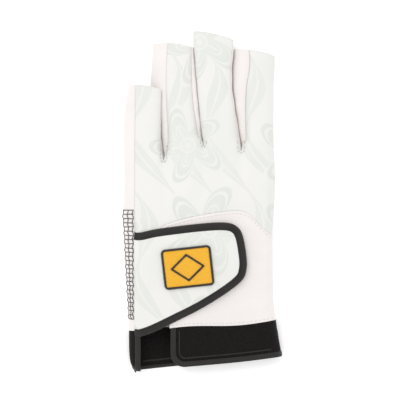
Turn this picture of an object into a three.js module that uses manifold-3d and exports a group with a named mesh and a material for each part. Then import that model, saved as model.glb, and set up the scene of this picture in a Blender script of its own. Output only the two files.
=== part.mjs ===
// Half-finger golf glove for the left hand, lying on its palm with the thumb folded under it.
// Millimetres. +X runs from the little finger to the index finger, +Y to the finger tips and +Z up.
import * as THREE from "three";
import { mergeVertices } from "three/addons/utils/BufferGeometryUtils.js";
import Module from "manifold-3d";

// Driving sizes
const PALM_WIDTH = 88;
const FINGER_REACH = 66.7;
const HAND_LENGTH = 105.6;
const CUFF_DEPTH = 25.5;

// Walls, seams and bindings
const LEATHER_WALL = 1.0;
const TAB_WALL = 1.2;
const CUFF_WALL = 1.2;
const BINDING_WALL = 1.7;
const CUFF_BINDING_WALL = 2.0;
const BINDING_WIDTH = 4.5;
const CUFF_BINDING_WIDTH = 3.2;
const CUFF_CORNER = 9;
const CUFF_CORNER_RUN = 6;
const SEAM_GAP = 0.3;
const BINDING_RISE = 0.5;

// Heights of the hand and its seams, and how softly the sides turn
const HAND_HEIGHT = 17;
const BACK_SEAM_HEIGHT = 7.4;
const PALM_SEAM_HEIGHT = 2.0;
const TOP_TURN = 6.0;
const FINGER_TURN = 5.5;
const UNDER_TURN = 4.5;
const CROTCH_FADE = 13;
const SLIT_OPENING = 6;
const TIP_BULGE = 1.0;
const SIDE_BULGE = 0.4;

// The thumb, its hole in the palm and the room that the palm makes for it
const THUMB_WIDTH = 27;
const THUMB_HEIGHT = 7.6;
const THUMB_HOLE_WIDTH = 25;
const THUMB_HOLE_LENGTH = 32;
const THUMB_RAMP = 14;

// The elastic gathers of the outer side
const GATHER_PITCH = 2.4;
const GATHER_DEPTH = 0.7;

// The tab, its patch and its hook pad
const TAB_CLEARANCE = 0.35;
const PATCH_WIDTH = 29;
const PATCH_HEIGHT = 23.5;
const PATCH_TURN = 6.4;
const PATCH_CORNER = 2.6;
const PATCH_BORDER = 1.4;
const PATCH_WALL = 0.9;
const PATCH_SEAT = 0.4;
const PATCH_BORDER_WALL = 1.3;
const PAD_WALL = 1.0;

// Colours and finishes
const LOOKS = {
  print: { color: 0xe9ebe8, roughness: 0.62 },
  leather: { color: 0xefeae8, roughness: 0.55 },
  binding: { color: 0x383533, roughness: 0.7 },
  cuff: { color: 0x201b1a, roughness: 0.85 },
  patch: { color: 0xfdbe28, roughness: 0.6 },
  border: { color: 0x1e120c, roughness: 0.6 },
};

// Places along the glove are shares: 0 to 1 of the finger reach above the knuckle line,
// 0 to -1 of the hand length below it, and -1 to -2 of the cuff depth.
// Places across it are shares of the palm's width.
const table = (names, rows) => ({ names: names.split(" "), rows });

const OUTLINE = table("along left right", [
  [-2.01, 0.055, 1.04],
  [-1.91, 0.042, 1.04],
  [-1.8, 0.034, 1.04],
  [-1.59, 0.032, 1.04],
  [-1.27, 0.03, 1.024],
  [-1.0, 0.03, 1.01],
  [-0.9, 0.03, 0.993],
  [-0.79, 0.022, 0.984],
  [-0.68, 0.015, 0.982],
  [-0.47, 0.002, 0.981],
  [-0.36, -0.006, 0.99],
  [-0.22, -0.001, 0.998],
  [-0.1, -0.002, 0.996],
  [0.0, -0.006, 0.99],
  [0.21, -0.004, 0.988],
  [0.36, 0.004, 0.99],
  [0.53, 0.026, 0.99],
  [0.7, 0.04, 0.997],
  [0.85, 0.04, 1.001],
]);

const FINGER_EDGES = table(
  "along pinkyPalm pinkyBack ringPalmL ringBackL ringPalmR ringBackR"
  + " middlePalmL middleBackL middlePalmR middleBackR indexPalm indexBack",
  [
    [-0.12, 0.257, 0.258, 0.27, 0.272, 0.523, 0.523, 0.525, 0.525, 0.77, 0.77, 0.773, 0.773],
    [-0.01, 0.243, 0.25, 0.257, 0.285, 0.519, 0.52, 0.527, 0.529, 0.766, 0.767, 0.778, 0.788],
    [0.07, 0.229, 0.248, 0.245, 0.29, 0.51, 0.504, 0.522, 0.542, 0.755, 0.757, 0.77, 0.804],
    [0.21, 0.203, 0.247, 0.221, 0.29, 0.498, 0.485, 0.513, 0.53, 0.737, 0.741, 0.753, 0.804],
    [0.36, 0.175, 0.252, 0.195, 0.282, 0.485, 0.472, 0.498, 0.514, 0.716, 0.724, 0.732, 0.804],
    [0.51, 0.155, 0.261, 0.174, 0.278, 0.471, 0.461, 0.484, 0.497, 0.698, 0.709, 0.713, 0.809],
    [0.7, 0.155, 0.261, 0.179, 0.279, 0.457, 0.454, 0.469, 0.48, 0.696, 0.705, 0.711, 0.831],
    [0.85, 0.155, 0.261, 0.186, 0.286, 0.452, 0.45, 0.464, 0.475, 0.705, 0.717, 0.72, 0.828],
    [1.0, 0.155, 0.261, 0.186, 0.286, 0.452, 0.45, 0.464, 0.475, 0.705, 0.726, 0.72, 0.828],
  ],
);

const CROTCHES = table("across along foot", [
  [0.0, -0.09, 0.0],
  [0.261, -0.077, 0.27],
  [0.5235, 0.009, 0.51],
  [0.772, -0.022, 0.76],
  [1.0, -0.035, 1.0],
]);

const TIPS = table("across leftTip rightAcross rightTip", [
  [0.025, 0.533, 0.261, 0.483],
  [0.188, 0.897, 0.45, 0.861],
  [0.464, 1.0, 0.726, 0.923],
  [0.72, 0.852, 1.001, 0.783],
]);

// The back's top and its outer side seam, as shares of the hand's height.
const HEIGHTS = table("along top side", [
  [-2.02, 0.6, 0.282],
  [-1.0, 0.694, 0.306],
  [-0.85, 0.824, 0.376],
  [-0.62, 1.0, 0.447],
  [-0.4, 1.0, 0.447],
  [-0.2, 0.953, 0.4],
  [0.0, 0.788, 0.306],
  [0.3, 0.612, 0.259],
  [1.0, 0.529, 0.247],
]);

// The seam between the printed back and the plain panel, the back slit and the cuff's two edges.
const LANDING_SEAM = table("across along", [
  [0.07, -0.52],
  [0.185, -0.505],
  [0.224, -0.467],
  [0.27, -0.434],
  [0.376, -0.404],
  [0.494, -0.382],
  [0.666, -0.359],
  [0.765, -0.356],
  [0.824, -0.376],
  [0.89, -0.431],
  [0.976, -0.495],
]);

const SLIT = table("along across", [
  [-1.1, 0.3065],
  [-0.945, 0.299],
  [-0.79, 0.277],
  [-0.637, 0.257],
  [-0.4, 0.237],
]);

const CUFF_EDGES = table("across top bottom", [
  [0.03, -1.07, -2.02],
  [0.345, -0.996, -1.905],
  [0.758, -0.984, -1.775],
  [1.035, -0.952, -1.659],
]);

// The tab's outer edge, from its upper end round the free end to its lower end.
const TAB_EDGE = table("across along", [
  [0.071, -0.47],
  [0.112, -0.473],
  [0.229, -0.453],
  [0.501, -0.425],
  [0.662, -0.419],
  [0.738, -0.438],
  [0.78, -0.49],
  [0.806, -0.61],
  [0.804, -0.681],
  [0.776, -0.735],
  [0.677, -0.803],
  [0.511, -0.89],
  [0.341, -0.963],
  [0.2, -1.02],
  [0.109, -1.047],
  [0.071, -1.045],
]);
const TAB_CORNERS = { upper: 0.3667, lower: 0.6 };
const PATCH_CENTRE = { across: 0.42, along: -0.664 };
const SEAM_ACROSS = 0.073;
const CUFF_SLIT_ACROSS = 0.3065;
const CUFF_FREE_EDGE = 0.1094;
const THUMB_BASE = { across: 0.765, along: -0.637 };
const THUMB_TIP = { across: 0.67, along: -0.27 };
const GATHER = { top: -0.352, bottom: -0.95 };

const PAD_SPAN = { left: 0.66, right: 0.755, lower: -0.66, upper: -0.49 };

// The share of the back's rise that its sides take, how square the thumb's open end is, where
// across the hand the tab starts to lift and the width over which it lifts.
const SIDE_STEEPNESS = 0.72;
const THUMB_SQUARENESS = 0.6;
const TAB_LIFT = { from: 0.3, over: 0.35 };

// Rows and columns of faces, as shares
const TOP_COLUMNS = [0, 0.06, 0.19, 0.4, 0.62, 0.82, 0.94, 1];
const UNDER_COLUMNS = [0, 0.07, 0.22, 0.5, 0.78, 0.93, 1];
const WRAP_COLUMNS = [1, 0.55, 0.2, 0.05, 0];
const LANDING_COLUMNS = [0, 0.12, 0.28, 0.45, 0.62, 0.77, 0.88, 0.95, 0.985, 1];
const TAB_COLUMNS = [0, 0.08, 0.2, 0.35, 0.5, 0.62, 0.74, 0.84, 0.92, 1];
const FINGER_ROWS = [0, 0.14, 0.3, 0.48, 0.65, 0.82, 1];
const BACK_ROWS = [-1, -0.75, -0.5, -0.3, -0.14];
const THUMB_ROWS = [0, 0.06, 0.13, 0.22, 0.34, 0.5, 0.66, 0.83, 1];
const CUFF_ROWS = [0, 0.12, 0.35, 0.6, 0.8, 1];
const UPRIGHT_ROWS = [1, 0.66, 0.33];
const THUMB_SIDES = 20;

// Interpolation
const clamp = (value, low = 0, high = 1) => Math.min(high, Math.max(low, value));
const mix = (a, b, t) => a + (b - a) * t;
const smooth = (t) => clamp(t) ** 2 * (3 - 2 * clamp(t));
const turn = (distance, radius) => Math.sqrt(1 - (1 - clamp(distance / radius)) ** 2);

function lookup(source, name, at) {
  const column = source.names.indexOf(name);
  const rows = source.rows;
  let i = 0;
  while (i < rows.length - 2 && at > rows[i + 1][0]) i += 1;
  const span = rows[i + 1][0] - rows[i][0];
  const t = clamp((at - rows[i][0]) / span);
  const slope = (a, b) => (rows[b][column] - rows[a][column]) / (rows[b][0] - rows[a][0]);
  const before = slope(Math.max(i - 1, 0), i + 1);
  const after = slope(i, Math.min(i + 2, rows.length - 1));
  const start = rows[i][column];
  const end = rows[i + 1][column];
  return (2 * t ** 3 - 3 * t ** 2 + 1) * start + (t ** 3 - 2 * t ** 2 + t) * span * before
    + (3 * t ** 2 - 2 * t ** 3) * end + (t ** 3 - t ** 2) * span * after;
}

const acrossX = (share) => share * PALM_WIDTH;
function alongY(share) {
  if (share >= 0) return share * FINGER_REACH;
  return share >= -1 ? share * HAND_LENGTH : -HAND_LENGTH + (share + 1) * CUFF_DEPTH;
}
function alongShare(y) {
  if (y >= 0) return y / FINGER_REACH;
  return y >= -HAND_LENGTH ? y / HAND_LENGTH : -1 + (y + HAND_LENGTH) / CUFF_DEPTH;
}

// Plan of the hand
const leftX = (y) => acrossX(lookup(OUTLINE, "left", alongShare(y)));
const rightX = (y) => acrossX(lookup(OUTLINE, "right", alongShare(y)));
const seamX = acrossX(SEAM_ACROSS);
const crotchX = (k) => acrossX(CROTCHES.rows[k][0]);
const crotchY = (k) => alongY(CROTCHES.rows[k][1]);
const landingY = (x) => alongY(lookup(LANDING_SEAM, "along", x / PALM_WIDTH));
const slitX = (y) => acrossX(lookup(SLIT, "across", alongShare(y)));
const cuffTopY = (x) => alongY(lookup(CUFF_EDGES, "top", x / PALM_WIDTH));
const cuffBottomY = (x) => alongY(lookup(CUFF_EDGES, "bottom", x / PALM_WIDTH));
const sideHeight = (y) => HAND_HEIGHT * lookup(HEIGHTS, "side", alongShare(y));
const topHeight = (y) => HAND_HEIGHT * lookup(HEIGHTS, "top", alongShare(y));

// The line under a crotch, which parts one finger's share of the hand from the next.
function partingX(k, y) {
  const share = clamp((y - crotchY(k)) / (-HAND_LENGTH - crotchY(k)));
  return mix(crotchX(k), acrossX(CROTCHES.rows[k][2]), share);
}

const EDGE_NAMES = {
  back: [["", "pinkyBack"], ["ringBackL", "ringBackR"], ["middleBackL", "middleBackR"], ["indexBack", ""]],
  palm: [["", "pinkyPalm"], ["ringPalmL", "ringPalmR"], ["middlePalmL", "middlePalmR"], ["indexPalm", ""]],
};

// The left (0) or right (1) edge of a finger's back or palm at a height.
function fingerEdge(side, finger, end, y) {
  if (finger === 0 && end === 0) return leftX(y);
  if (finger === 3 && end === 1) return rightX(y);
  const k = finger + end;
  if (y <= crotchY(k)) return partingX(k, y);
  const open = acrossX(lookup(FINGER_EDGES, EDGE_NAMES[side][finger][end], alongShare(y)));
  return mix(crotchX(k), open, smooth((y - crotchY(k)) / SLIT_OPENING));
}

function tipY(finger, x) {
  const [leftAcross, leftTip, rightAcross, rightTip] = TIPS.rows[finger];
  const share = clamp((x / PALM_WIDTH - leftAcross) / (rightAcross - leftAcross));
  return mix(alongY(leftTip), alongY(rightTip), share) + TIP_BULGE * 4 * share * (1 - share);
}

// How far the palm lifts to make room for the folded thumb.
const thumbBase = new THREE.Vector2(acrossX(THUMB_BASE.across), alongY(THUMB_BASE.along));
const thumbTip = new THREE.Vector2(acrossX(THUMB_TIP.across), alongY(THUMB_TIP.along));
const thumbAxis = thumbTip.clone().sub(thumbBase).normalize();
const thumbSide = new THREE.Vector2(thumbAxis.y, -thumbAxis.x);
const thumbRoom = THUMB_HEIGHT + 2 * SEAM_GAP;

function thumbLift(x, y) {
  const place = new THREE.Vector2(x, y).sub(thumbBase);
  const length = thumbTip.distanceTo(thumbBase);
  const along = clamp(place.dot(thumbAxis), 0, length);
  const outside = place.sub(thumbAxis.clone().multiplyScalar(along)).length() - THUMB_WIDTH / 2 - 1;
  return thumbRoom * (1 - smooth(outside / THUMB_RAMP));
}

// Heights of the outer surfaces
function handTop(x, y) {
  const base = sideHeight(y) + SEAM_GAP / 2;
  const inside = Math.max(0, Math.min(x - leftX(y), rightX(y) - x));
  const rise = mix(turn(inside, PALM_WIDTH / 2), turn(inside, TOP_TURN), SIDE_STEEPNESS);
  return base + (topHeight(y) - base) * rise;
}

function handUnder(x, y) {
  const inside = Math.max(0, Math.min(x - leftX(y), rightX(y) - x));
  const edge = (sideHeight(y) - SEAM_GAP / 2) * (1 - turn(inside, UNDER_TURN));
  return edge + thumbLift(x, y) * turn(inside, TOP_TURN);
}

function fingerHeight(side, finger, x, y) {
  const half = side === "back" ? SEAM_GAP / 2 : -SEAM_GAP / 2;
  const outer = sideHeight(y) + half;
  const seam = side === "back" ? BACK_SEAM_HEIGHT : PALM_SEAM_HEIGHT;
  const full = side === "back" ? topHeight(y) : 0;
  const radius = side === "back" ? FINGER_TURN : UNDER_TURN;
  const left = Math.max(0, x - fingerEdge(side, finger, 0, y));
  const right = Math.max(0, fingerEdge(side, finger, 1, y) - x);
  const leftHeight = finger === 0 ? outer : seam;
  const rightHeight = finger === 3 ? outer : seam;
  const leftFall = (leftHeight - full) * (1 - turn(left, radius));
  const rightFall = (rightHeight - full) * (1 - turn(right, radius));
  return full + leftFall + rightFall;
}

// How far a place belongs to a finger rather than to the hand.
function fingerShare(x, y) {
  const line = alongY(lookup(CROTCHES, "along", x / PALM_WIDTH));
  return smooth((y - line + CROTCH_FADE) / (2 * CROTCH_FADE));
}

function surfaceHeight(side, finger, x, y) {
  const hand = side === "back" ? handTop(x, y) : handUnder(x, y);
  return mix(hand, fingerHeight(side, finger, x, y), fingerShare(x, y));
}

// An outer surface, gathered face by face and then given a wall. A point may carry the direction
// that its wall goes in and the wall's own depth.
class Surface {
  constructor(flipped = false) {
    this.flipped = flipped;
    this.points = [];
    this.faces = [];
    this.places = new Map();
  }

  vertex(point) {
    const key = point.toArray().map((value) => Math.round(value * 1000)).join(",");
    if (!this.places.has(key)) {
      this.places.set(key, this.points.length);
      this.points.push(point);
    }
    return this.places.get(key);
  }

  face(points) {
    const loop = points.map((point) => this.vertex(point));
    const corners = loop.filter((value, i) => value !== loop[(i + 1) % loop.length]);
    if (corners.length < 3) return;
    this.faces.push(this.flipped ? corners.reverse() : corners);
  }

  // Rows run along the second axis and columns along the first, as seen from outside.
  grid(rows, columns, place) {
    for (let i = 0; i < rows.length - 1; i += 1) {
      for (let j = 0; j < columns.length - 1; j += 1) {
        const corners = [[i, j], [i, j + 1], [i + 1, j + 1], [i + 1, j]];
        this.face(corners.map(([a, b]) => place(rows[a], columns[b])));
      }
    }
  }

  // The closed body between the surface, set in by an inset, and its copy one wall further in.
  solid(wall, inset = 0) {
    const normals = this.points.map(() => new THREE.Vector3());
    for (const face of this.faces) {
      for (let i = 0; i < face.length; i += 1) {
        const here = this.points[face[i]];
        const next = this.points[face[(i + 1) % face.length]].clone().sub(here);
        const last = this.points[face[(i + face.length - 1) % face.length]].clone().sub(here);
        const corner = next.cross(last);
        const size = corner.length();
        if (size > 1e-9) normals[face[i]].addScaledVector(corner, 1 / Math.sqrt(size));
      }
    }
    normals.forEach((normal, i) => {
      if (this.points[i].inward) normal.copy(this.points[i].inward).negate();
      normal.normalize();
    });
    const count = this.points.length;
    const positions = [];
    this.points.forEach((point, i) => positions.push(...point.clone().addScaledVector(normals[i], -inset)));
    this.points.forEach((point, i) => {
      const depth = inset + (point.wall ?? wall);
      positions.push(...point.clone().addScaledVector(normals[i], -depth));
    });
    const triangles = [];
    const edges = new Map();
    for (const face of this.faces) {
      const top = face.length - 2;
      for (let i = 0; i < face.length; i += 1) {
        edges.set(`${face[i]},${face[(i + 1) % face.length]}`, [face[i], face[(i + 1) % face.length]]);
      }
      for (let i = 1; i < face.length - 1; i += 1) {
        const a = face[top];
        const b = face[(top + i) % face.length];
        const c = face[(top + i + 1) % face.length];
        triangles.push(a, b, c, a + count, c + count, b + count);
      }
    }
    for (const [a, b] of edges.values()) {
      if (!edges.has(`${b},${a}`)) triangles.push(a, a + count, b + count, a, b + count, b);
    }
    const geometry = new THREE.BufferGeometry();
    geometry.setAttribute("position", new THREE.Float32BufferAttribute(positions, 3));
    geometry.setIndex(triangles);
    return geometry;
  }
}

const steps = (count, from = 0, to = 1) => (
  Array.from({ length: count + 1 }, (_, i) => mix(from, to, i / count)));

// Places on a finger or on its share of the hand. Row 0 is the crotch, positive rows reach the tip
// at 1 and negative rows reach the lower edge at -1.
function crotchRowY(finger, column) {
  return mix(crotchY(finger), crotchY(finger + 1), column);
}

function fingerPlace(side, finger, column, row, start) {
  const ends = (y) => [start(finger, y), fingerEdge(side, finger, 1, y)];
  const base = crotchRowY(finger, column);
  let y = base;
  for (let pass = 0; pass < 3; pass += 1) {
    const [left, right] = ends(y);
    y = mix(base, tipY(finger, mix(left, right, column)), row);
  }
  const [left, right] = ends(y);
  return [mix(left, right, column), y];
}

function handPlace(finger, column, row, start, lowerEdge) {
  const ends = (y) => [start(finger, y), finger === 3 ? rightX(y) : partingX(finger + 1, y)];
  const base = crotchRowY(finger, column);
  let y = base;
  for (let pass = 0; pass < 3; pass += 1) {
    const [left, right] = ends(y);
    y = mix(base, lowerEdge(mix(left, right, column)), -row);
  }
  const [left, right] = ends(y);
  return [mix(left, right, column), y];
}

// Seam edges have upright rims, and the index finger's outer edge has a level one.
const LEVEL = new THREE.Vector3(-1, 0, 0);
const DOWN = new THREE.Vector3(0, 0, -1);
const UP = new THREE.Vector3(0, 0, 1);

function rimmed(point, upright, finger, column, row) {
  if (finger === 3 && column === 1) point.inward = LEVEL;
  else if (finger === 0 && column === 0) point.inward = upright;
  else if (row >= 0 && (column === 0 || column === 1)) point.inward = upright;
  return point;
}

const backStart = (finger, y) => (finger === 0 ? seamX + SEAM_GAP / 2 : fingerEdge("back", finger, 0, y));
const palmStart = (finger, y) => fingerEdge("palm", finger, 0, y);

function backPanel() {
  const surface = new Surface();
  const lowerEdge = (x) => landingY(x) + SEAM_GAP / 2;
  for (let finger = 0; finger < 4; finger += 1) {
    const place = (row, column) => {
      const [x, y] = row > 0
        ? fingerPlace("back", finger, column, row, backStart)
        : handPlace(finger, column, row, backStart, lowerEdge);
      const point = new THREE.Vector3(x, y, surfaceHeight("back", finger, x, y));
      return rimmed(point, DOWN, finger, column, row);
    };
    surface.grid([...BACK_ROWS, ...FINGER_ROWS], TOP_COLUMNS, place);
  }
  return surface.solid(LEATHER_WALL);
}

// The gathers push the outer side in and out along its length.
function gatherShift(y, fade) {
  const top = alongY(GATHER.top);
  const bottom = alongY(GATHER.bottom);
  if (y > top || y < bottom) return 0;
  const count = Math.round((top - bottom) / GATHER_PITCH);
  return GATHER_DEPTH * fade * Math.sin(Math.PI * count * (top - y) / (top - bottom)) ** 2;
}

// The outer side: wrap 1 is the back seam and wrap 0 the outline.
function wrapPlace(wrap, y) {
  const x = mix(leftX(y), seamX - SEAM_GAP / 2, wrap);
  const height = surfaceHeight("back", 0, x, y);
  const z = wrap === 0 ? sideHeight(y) + SEAM_GAP / 2 : height;
  const point = new THREE.Vector3(x + gatherShift(y, smooth((0.6 - wrap) / 0.4)), y, z);
  if (wrap === 1) point.inward = DOWN;
  return point;
}

function palmPanel() {
  const surface = new Surface(true);
  const lowerEdge = (x) => cuffTopY(x) + SEAM_GAP / 2;
  const handRows = steps(16, -1, 0);
  const at = (finger, column, row) => (row > 0
    ? fingerPlace("palm", finger, column, row, palmStart)
    : handPlace(finger, column, row, palmStart, lowerEdge));
  const under = (finger, column, row) => {
    const [x, y] = at(finger, column, row);
    const fade = finger === 0 && column < UNDER_COLUMNS[2] ? 1 - column / UNDER_COLUMNS[2] : 0;
    const point = new THREE.Vector3(x + gatherShift(y, fade), y, surfaceHeight("palm", finger, x, y));
    return finger === 0 && column === 0 ? point : rimmed(point, UP, finger, column, row);
  };
  const rows = [...handRows, ...FINGER_ROWS.slice(1)];
  for (let i = 0; i < rows.length - 1; i += 1) {
    const low = at(0, 0, rows[i])[1];
    const high = at(0, 0, rows[i + 1])[1];
    const gathered = high > alongY(GATHER.bottom) && low < alongY(GATHER.top);
    const fine = steps(gathered ? Math.round((high - low) / (GATHER_PITCH / 2)) : 1, rows[i], rows[i + 1]);
    surface.grid(fine, WRAP_COLUMNS, (row, wrap) => wrapPlace(wrap, at(0, 0, row)[1]));
    surface.grid(fine, [1, 0], (row, end) => (end ? wrapPlace(0, at(0, 0, row)[1]) : under(0, 0, row)));
    surface.grid(fine, UNDER_COLUMNS.slice(0, 3), (row, column) => under(0, column, row));
    for (let finger = 0; finger < 4; finger += 1) {
      for (let j = finger === 0 ? 2 : 0; j < UNDER_COLUMNS.length - 1; j += 1) {
        const [a, b] = [UNDER_COLUMNS[j], UNDER_COLUMNS[j + 1]];
        const corners = [under(finger, a, rows[i]), under(finger, b, rows[i])];
        corners.push(under(finger, b, rows[i + 1]), under(finger, a, rows[i + 1]));
        if (finger === 0 && j === 2) {
          for (let k = fine.length - 2; k > 0; k -= 1) corners.push(under(0, a, fine[k]));
        }
        surface.face(corners);
      }
    }
  }
  return cutThumbHole(surface.solid(LEATHER_WALL));
}

const wasm = await Module();
wasm.setup();

function toManifold(geometry) {
  const bare = geometry.clone();
  bare.deleteAttribute("normal");
  bare.deleteAttribute("uv");
  const merged = mergeVertices(bare, 1e-4);
  return new wasm.Manifold(new wasm.Mesh({
    numProp: 3,
    vertProperties: new Float32Array(merged.attributes.position.array),
    triVerts: new Uint32Array(merged.index.array),
  }));
}

function fromManifold(solid) {
  const mesh = solid.getMesh();
  const geometry = new THREE.BufferGeometry();
  geometry.setAttribute("position", new THREE.BufferAttribute(new Float32Array(mesh.vertProperties), 3));
  geometry.setIndex(Array.from(mesh.triVerts));
  return geometry;
}

// A place on the rim of the thumb hole, grown by a margin.
function thumbHolePoint(angle, margin) {
  const across = (THUMB_HOLE_WIDTH / 2 + margin) * Math.cos(angle);
  const along = (THUMB_HOLE_LENGTH / 2 + margin) * Math.sin(angle);
  return thumbBase.clone().addScaledVector(thumbSide, across).addScaledVector(thumbAxis, along);
}

function cutThumbHole(panel) {
  const outline = new THREE.Shape(steps(THUMB_SIDES - 1, 0, 2 * Math.PI * (1 - 1 / THUMB_SIDES))
    .map((angle) => thumbHolePoint(angle, 0)));
  const punch = new THREE.ExtrudeGeometry(outline, { depth: 4 * thumbRoom, bevelEnabled: false });
  punch.translate(0, 0, -thumbRoom);
  return fromManifold(toManifold(panel).subtract(toManifold(punch)));
}

// The thumb runs from the rim of its hole to a flat open tip.
function thumb() {
  const surface = new Surface(true);
  const angles = steps(THUMB_SIDES, 0, 2 * Math.PI);
  const place = (row, angle) => {
    const rim = thumbHolePoint(angle, LEATHER_WALL);
    const rimZ = handUnder(rim.x, rim.y) - 3 * SEAM_GAP;
    const side = Math.sign(Math.cos(angle)) * Math.abs(Math.cos(angle)) ** THUMB_SQUARENESS;
    const rise = Math.sign(Math.sin(angle)) * Math.abs(Math.sin(angle)) ** THUMB_SQUARENESS;
    const end = thumbTip.clone().addScaledVector(thumbSide, side * THUMB_WIDTH / 2);
    const endZ = THUMB_HEIGHT / 2 * (1 + rise);
    const z = mix(rimZ, endZ, 1 - (1 - row) ** 3);
    const point = new THREE.Vector3(mix(rim.x, end.x, row), mix(rim.y, end.y, row), z);
    if (row === 0) point.inward = new THREE.Vector3(thumbBase.x - rim.x, thumbBase.y - rim.y, 0);
    return point;
  };
  surface.grid(THUMB_ROWS, angles, (row, angle) => (
    place(row, angle === angles[THUMB_SIDES] ? 0 : angle)));
  return surface.solid(LEATHER_WALL);
}

// A side strip runs down one finger, round the crotch and up the next finger.
function fourchette(k) {
  const surface = new Surface(true);
  const stations = [];
  for (const row of [...FINGER_ROWS].reverse()) stations.push({ finger: k - 1, column: 1, row });
  for (const row of FINGER_ROWS.slice(1)) stations.push({ finger: k, column: 0, row });
  const corner = (side, station) => {
    const start = side === "back" ? backStart : palmStart;
    const [x, y] = fingerPlace(side, station.finger, station.column, station.row, start);
    return new THREE.Vector3(x, y, surfaceHeight(side, station.finger, x, y));
  };
  const trim = LEATHER_WALL + SEAM_GAP;
  const place = (index, across) => {
    const station = stations[index];
    const top = corner("back", station);
    const bottom = corner("palm", station);
    const length = top.distanceTo(bottom);
    const share = mix(trim / length, 1 - (trim + SEAM_GAP) / length, across);
    const outward = station.column === 1 ? 1 : -1;
    const bulge = SIDE_BULGE * smooth(station.row * 4) * 4 * across * (1 - across);
    return top.lerp(bottom, share).add(new THREE.Vector3(outward * bulge * (k === 1 ? 0 : 1), 0, 0));
  };
  surface.grid(stations.map((_, i) => i), steps(3), place);
  return surface.solid(LEATHER_WALL);
}

function landingPanel() {
  const surface = new Surface();
  const place = (row, column) => {
    let y = alongY(-0.7);
    let x = 0;
    for (let pass = 0; pass < 4; pass += 1) {
      x = mix(slitX(y), rightX(y), column);
      y = mix(cuffTopY(x) + SEAM_GAP / 2, landingY(x) - SEAM_GAP / 2, row);
    }
    const point = new THREE.Vector3(x, y, handTop(x, y));
    if (column === 1) point.inward = LEVEL;
    return point;
  };
  surface.grid(steps(8), LANDING_COLUMNS, place);
  return surface.solid(LEATHER_WALL);
}

// The tab lies over the back and lifts towards its free end, over the hook pad.
function tabTop(x, y) {
  const lifted = smooth((x / PALM_WIDTH - TAB_LIFT.from) / TAB_LIFT.over);
  const lift = mix(TAB_CLEARANCE, PAD_WALL + 2 * TAB_CLEARANCE, lifted);
  return handTop(x, y) + lift + TAB_WALL;
}

function tabEdge(share) {
  const rows = TAB_EDGE.rows;
  const place = share * (rows.length - 1);
  const i = Math.min(Math.floor(place), rows.length - 2);
  const t = place - i;
  const point = (n) => {
    const [across, along] = rows[clamp(n, 0, rows.length - 1)];
    return new THREE.Vector2(acrossX(across), along * HAND_LENGTH);
  };
  const [a, b, c, d] = [point(i - 1), point(i), point(i + 1), point(i + 2)];
  const bend = (p, q, r, s) => 0.5 * (2 * q + (r - p) * t + (2 * p - 5 * q + 4 * r - s) * t ** 2
    + (3 * q - p - 3 * r + s) * t ** 3);
  return new THREE.Vector2(bend(a.x, b.x, c.x, d.x), bend(a.y, b.y, c.y, d.y));
}

// The tab's edge set in by a distance, kept square to its sewn end.
function tabInset(share, distance) {
  const step = 0.004;
  const ahead = tabEdge(Math.min(1, share + step));
  const behind = tabEdge(Math.max(0, share - step));
  const direction = ahead.sub(behind).normalize();
  const point = tabEdge(share).add(new THREE.Vector2(direction.y, -direction.x).multiplyScalar(distance));
  const end = smooth(Math.min(share, 1 - share) / 0.03);
  point.x = mix(acrossX(TAB_EDGE.rows[0][0]), point.x, end);
  return point;
}

function tabPlace(point, rise = 0) {
  return new THREE.Vector3(point.x, point.y, tabTop(point.x, point.y) + rise);
}

function closureTab() {
  const surface = new Surface();
  const inset = BINDING_WIDTH + SEAM_GAP;
  const edge = (share) => tabInset(share, inset);
  const { upper, lower } = TAB_CORNERS;
  const top = (u) => edge(u * upper);
  const bottom = (u) => edge(1 - u * (1 - lower));
  const left = (v) => bottom(0).lerp(top(0), v);
  const right = (v) => edge(mix(lower, upper, v));
  const place = (v, u) => {
    const rail = bottom(u).lerp(top(u), v).add(left(v).lerp(right(v), u));
    const corners = bottom(0).lerp(bottom(1), u).lerp(top(0).lerp(top(1), u), v);
    return tabPlace(rail.sub(corners));
  };
  surface.grid(steps(9), TAB_COLUMNS, place);
  return surface.solid(TAB_WALL);
}

// A rounded strip: how far its top drops from the outer edge, at 0, to the inner edge, as a share
// of its wall.
const STRIP = table("across drop", [
  [0, 0.47],
  [0.12, 0.12],
  [0.5, 0],
  [0.88, 0.09],
  [1, 0.3],
]);
const STRIP_COLUMNS = STRIP.rows.map(([across]) => across);

function tabBinding() {
  const surface = new Surface(true);
  surface.grid(STRIP_COLUMNS, steps(44), (across, share) => {
    const drop = BINDING_WALL * lookup(STRIP, "drop", across);
    const point = tabPlace(tabInset(share, BINDING_WIDTH * across), BINDING_RISE - drop);
    point.inward = DOWN;
    point.wall = BINDING_WALL - drop;
    return point;
  });
  return surface.solid(BINDING_WALL);
}

// The patch is a rounded rectangle turned a little against the hand.
function patchPoint(angle, inset) {
  const radius = Math.max(PATCH_CORNER - inset, 0.4);
  const half = new THREE.Vector2(PATCH_WIDTH / 2 - inset - radius, PATCH_HEIGHT / 2 - inset - radius);
  const quarter = Math.floor(angle / (Math.PI / 2)) % 4;
  const signX = quarter === 0 || quarter === 3 ? 1 : -1;
  const signY = quarter < 2 ? 1 : -1;
  const x = signX * half.x + radius * Math.cos(angle);
  const y = signY * half.y + radius * Math.sin(angle);
  const tilt = THREE.MathUtils.degToRad(PATCH_TURN);
  return new THREE.Vector2(
    acrossX(PATCH_CENTRE.across) + x * Math.cos(tilt) - y * Math.sin(tilt),
    alongY(PATCH_CENTRE.along) + x * Math.sin(tilt) + y * Math.cos(tilt),
  );
}

const PATCH_ANGLES = steps(3).flatMap((_, quarter) => (
  steps(3, 0.001, Math.PI / 2 - 0.001).map((angle) => angle + quarter * Math.PI / 2)));

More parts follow.
